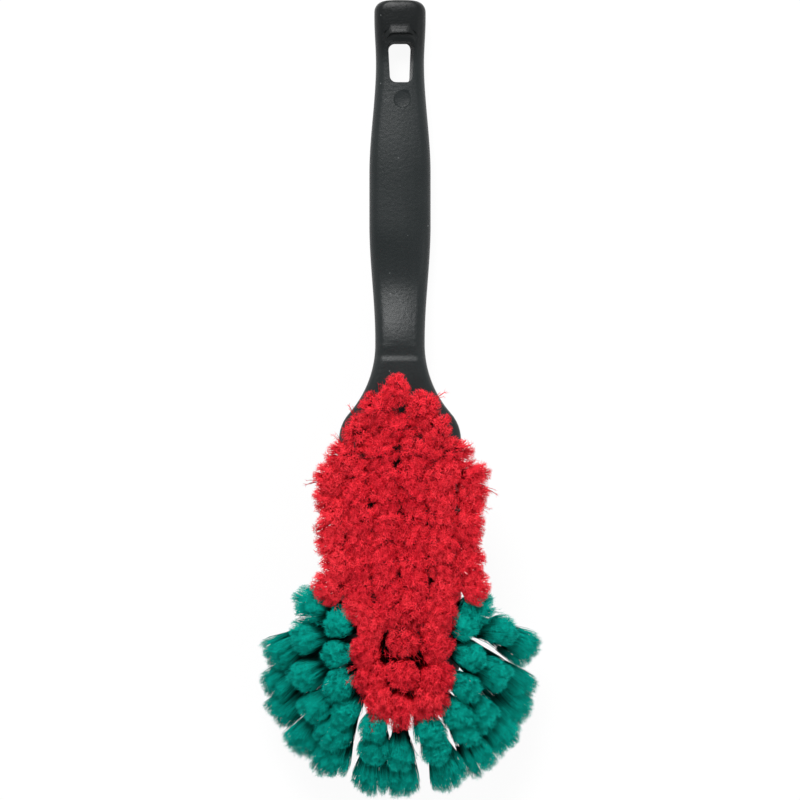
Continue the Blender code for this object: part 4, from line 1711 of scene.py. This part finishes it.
@dataclass
class Studio:
    """The camera, the floor and plain soft light."""

    aim: Triple = (0.0, 0.103, 0.0)
    camera_place: Triple = (0.0, 0.103, 1.18)
    view_width: float = 0.3264
    sensor_width: float = 36.0
    clip: tuple[float, float] = (0.01, 20.0)
    horizon: tuple[float, Triple] = (0.45, (1.0, 1.0, 1.0))
    overhead: tuple[float, Triple] = (0.98, (0.30, 0.30, 0.31))
    floor_size: float = 8.0
    floor_place: Triple = (0.0, 0.1, -0.0002)
    floor_colour: Triple = (0.93, 0.93, 0.93)
    floor_glow: float = 0.92
    lamps: tuple[Softbox, ...] = (
        Softbox("key_lamp", (-0.20, 1.02, 1.25), 0.6, 20.0),
        Softbox("fill_lamp", (0.85, -0.35, 1.0), 0.9, 3.5),
    )

    def build(self) -> None:
        """Sets up the view settings, camera, lamps, world and floor."""
        bpy.context.scene.view_settings.view_transform = "Standard"
        self.add_camera()
        for lamp in self.lamps:
            self.add_lamp(lamp)
        self.light_world()
        self.lay_floor()

    def add_camera(self) -> None:
        """Hangs the camera straight above the brush, with the handle at the picture's top."""
        lens = bpy.data.cameras.new("camera")
        lens.sensor_fit = "HORIZONTAL"
        lens.sensor_width = self.sensor_width
        lens.lens = self.sensor_width * self.camera_place[2] / self.view_width
        lens.clip_start, lens.clip_end = self.clip
        camera = bpy.data.objects.new("camera", lens)
        camera.location = self.camera_place
        bpy.context.scene.collection.objects.link(camera)
        bpy.context.scene.camera = camera

    def add_lamp(self, lamp: Softbox) -> None:
        """Adds one softbox that faces the brush."""
        light = bpy.data.lights.new(lamp.name, "AREA")
        light.shape = "SQUARE"
        light.size = lamp.size
        light.energy = lamp.power
        made = bpy.data.objects.new(lamp.name, light)
        made.location = lamp.place
        facing = Vector(self.aim) - Vector(lamp.place)
        made.rotation_euler = facing.to_track_quat("-Z", "Y").to_euler()
        bpy.context.scene.collection.objects.link(made)

    def light_world(self) -> None:
        """A pale surround that is white near the horizon and greyer overhead."""
        world = bpy.data.worlds.new("studio_world")
        world.use_nodes = True
        bpy.context.scene.world = world
        board = NodeBoard(world)
        place = board.add("ShaderNodeTexCoord").outputs["Generated"]
        background = board.node("Background")
        shade = board.ramp(board.axes(place)["Z"], (self.horizon, self.overhead))
        board.feed(background.inputs["Color"], shade)
        background.inputs["Strength"].default_value = 1.0

    def lay_floor(self) -> None:
        """Lays a plain white floor that keeps the brush's shadow."""
        Workbench.clear_selection()
        bpy.ops.mesh.primitive_plane_add(size=self.floor_size, location=self.floor_place)
        floor = bpy.context.object
        floor.name = "floor"
        board = NodeBoard.new("floor_white")
        board.dress(Base_Color=self.floor_colour, Roughness=0.9, Specular_IOR_Level=0.0)
        glow = board.add("ShaderNodeEmission", Strength=1.0)
        path = board.add("ShaderNodeLightPath")
        share = board.math("MULTIPLY", path.outputs["Is Camera Ray"], self.floor_glow)
        blend = board.add("ShaderNodeMixShader", Fac=share)
        board.feed(blend.inputs[1], board.node(SHADER).outputs["BSDF"])
        board.feed(blend.inputs[2], glow.outputs["Emission"])
        board.feed(board.node("Material Output").inputs["Surface"], blend.outputs["Shader"])
        floor.data.materials.append(board.owner)


# ---- The whole brush ----


@dataclass
class WashingBrush:
    """The moulding and all its rows of tufts."""

    layout: TuftLayout = field(default_factory=TuftLayout)
    black: MouldedBlack = MouldedBlack()
    red: SplitBristle = SplitBristle(
        Finish.RED,
        # The dark root and stem are partly painted shade deep in the tufts.
        root=(0.22, 0.001, 0.004),
        stem=(0.58, 0.004, 0.014),
        tip=(0.98, 0.034, 0.056),
        warmth=1.3,
    )
    green: SplitBristle = SplitBristle(
        Finish.GREEN,
        # The dark root and stem are partly painted shade deep in the tufts.
        root=(0.0005, 0.035, 0.030),
        stem=(0.0005, 0.110, 0.092),
        tip=(0.001, 0.45, 0.36),
    )

    def build(self) -> None:
        """Builds the brush piece by piece and reports each one."""
        rows = self.layout.all_rows()
        tufts = [tuft for row in rows for tuft in row.tufts]
        moulding = Moulding(self.layout.shape).build(tufts, self.black.material())
        LOG.info("%s: %d faces", moulding.name, len(moulding.data.polygons))
        planter = TuftPlanter(Filament().model(), self.layout.bristle_length)
        finishes = {Finish.RED: self.red.material(), Finish.GREEN: self.green.material()}
        for seed, row in enumerate(rows):
            piece = planter.plant(row, seed + 1, finishes[row.finish])
            LOG.info("%s: %d faces", piece.name, len(piece.data.polygons))


def main() -> None:
    """Loads the frame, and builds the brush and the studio."""
    logging.basicConfig(level=logging.INFO, format="%(name)s: %(message)s")
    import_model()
    Studio().build()
    WashingBrush().build()


if __name__ == "__main__":
    main()
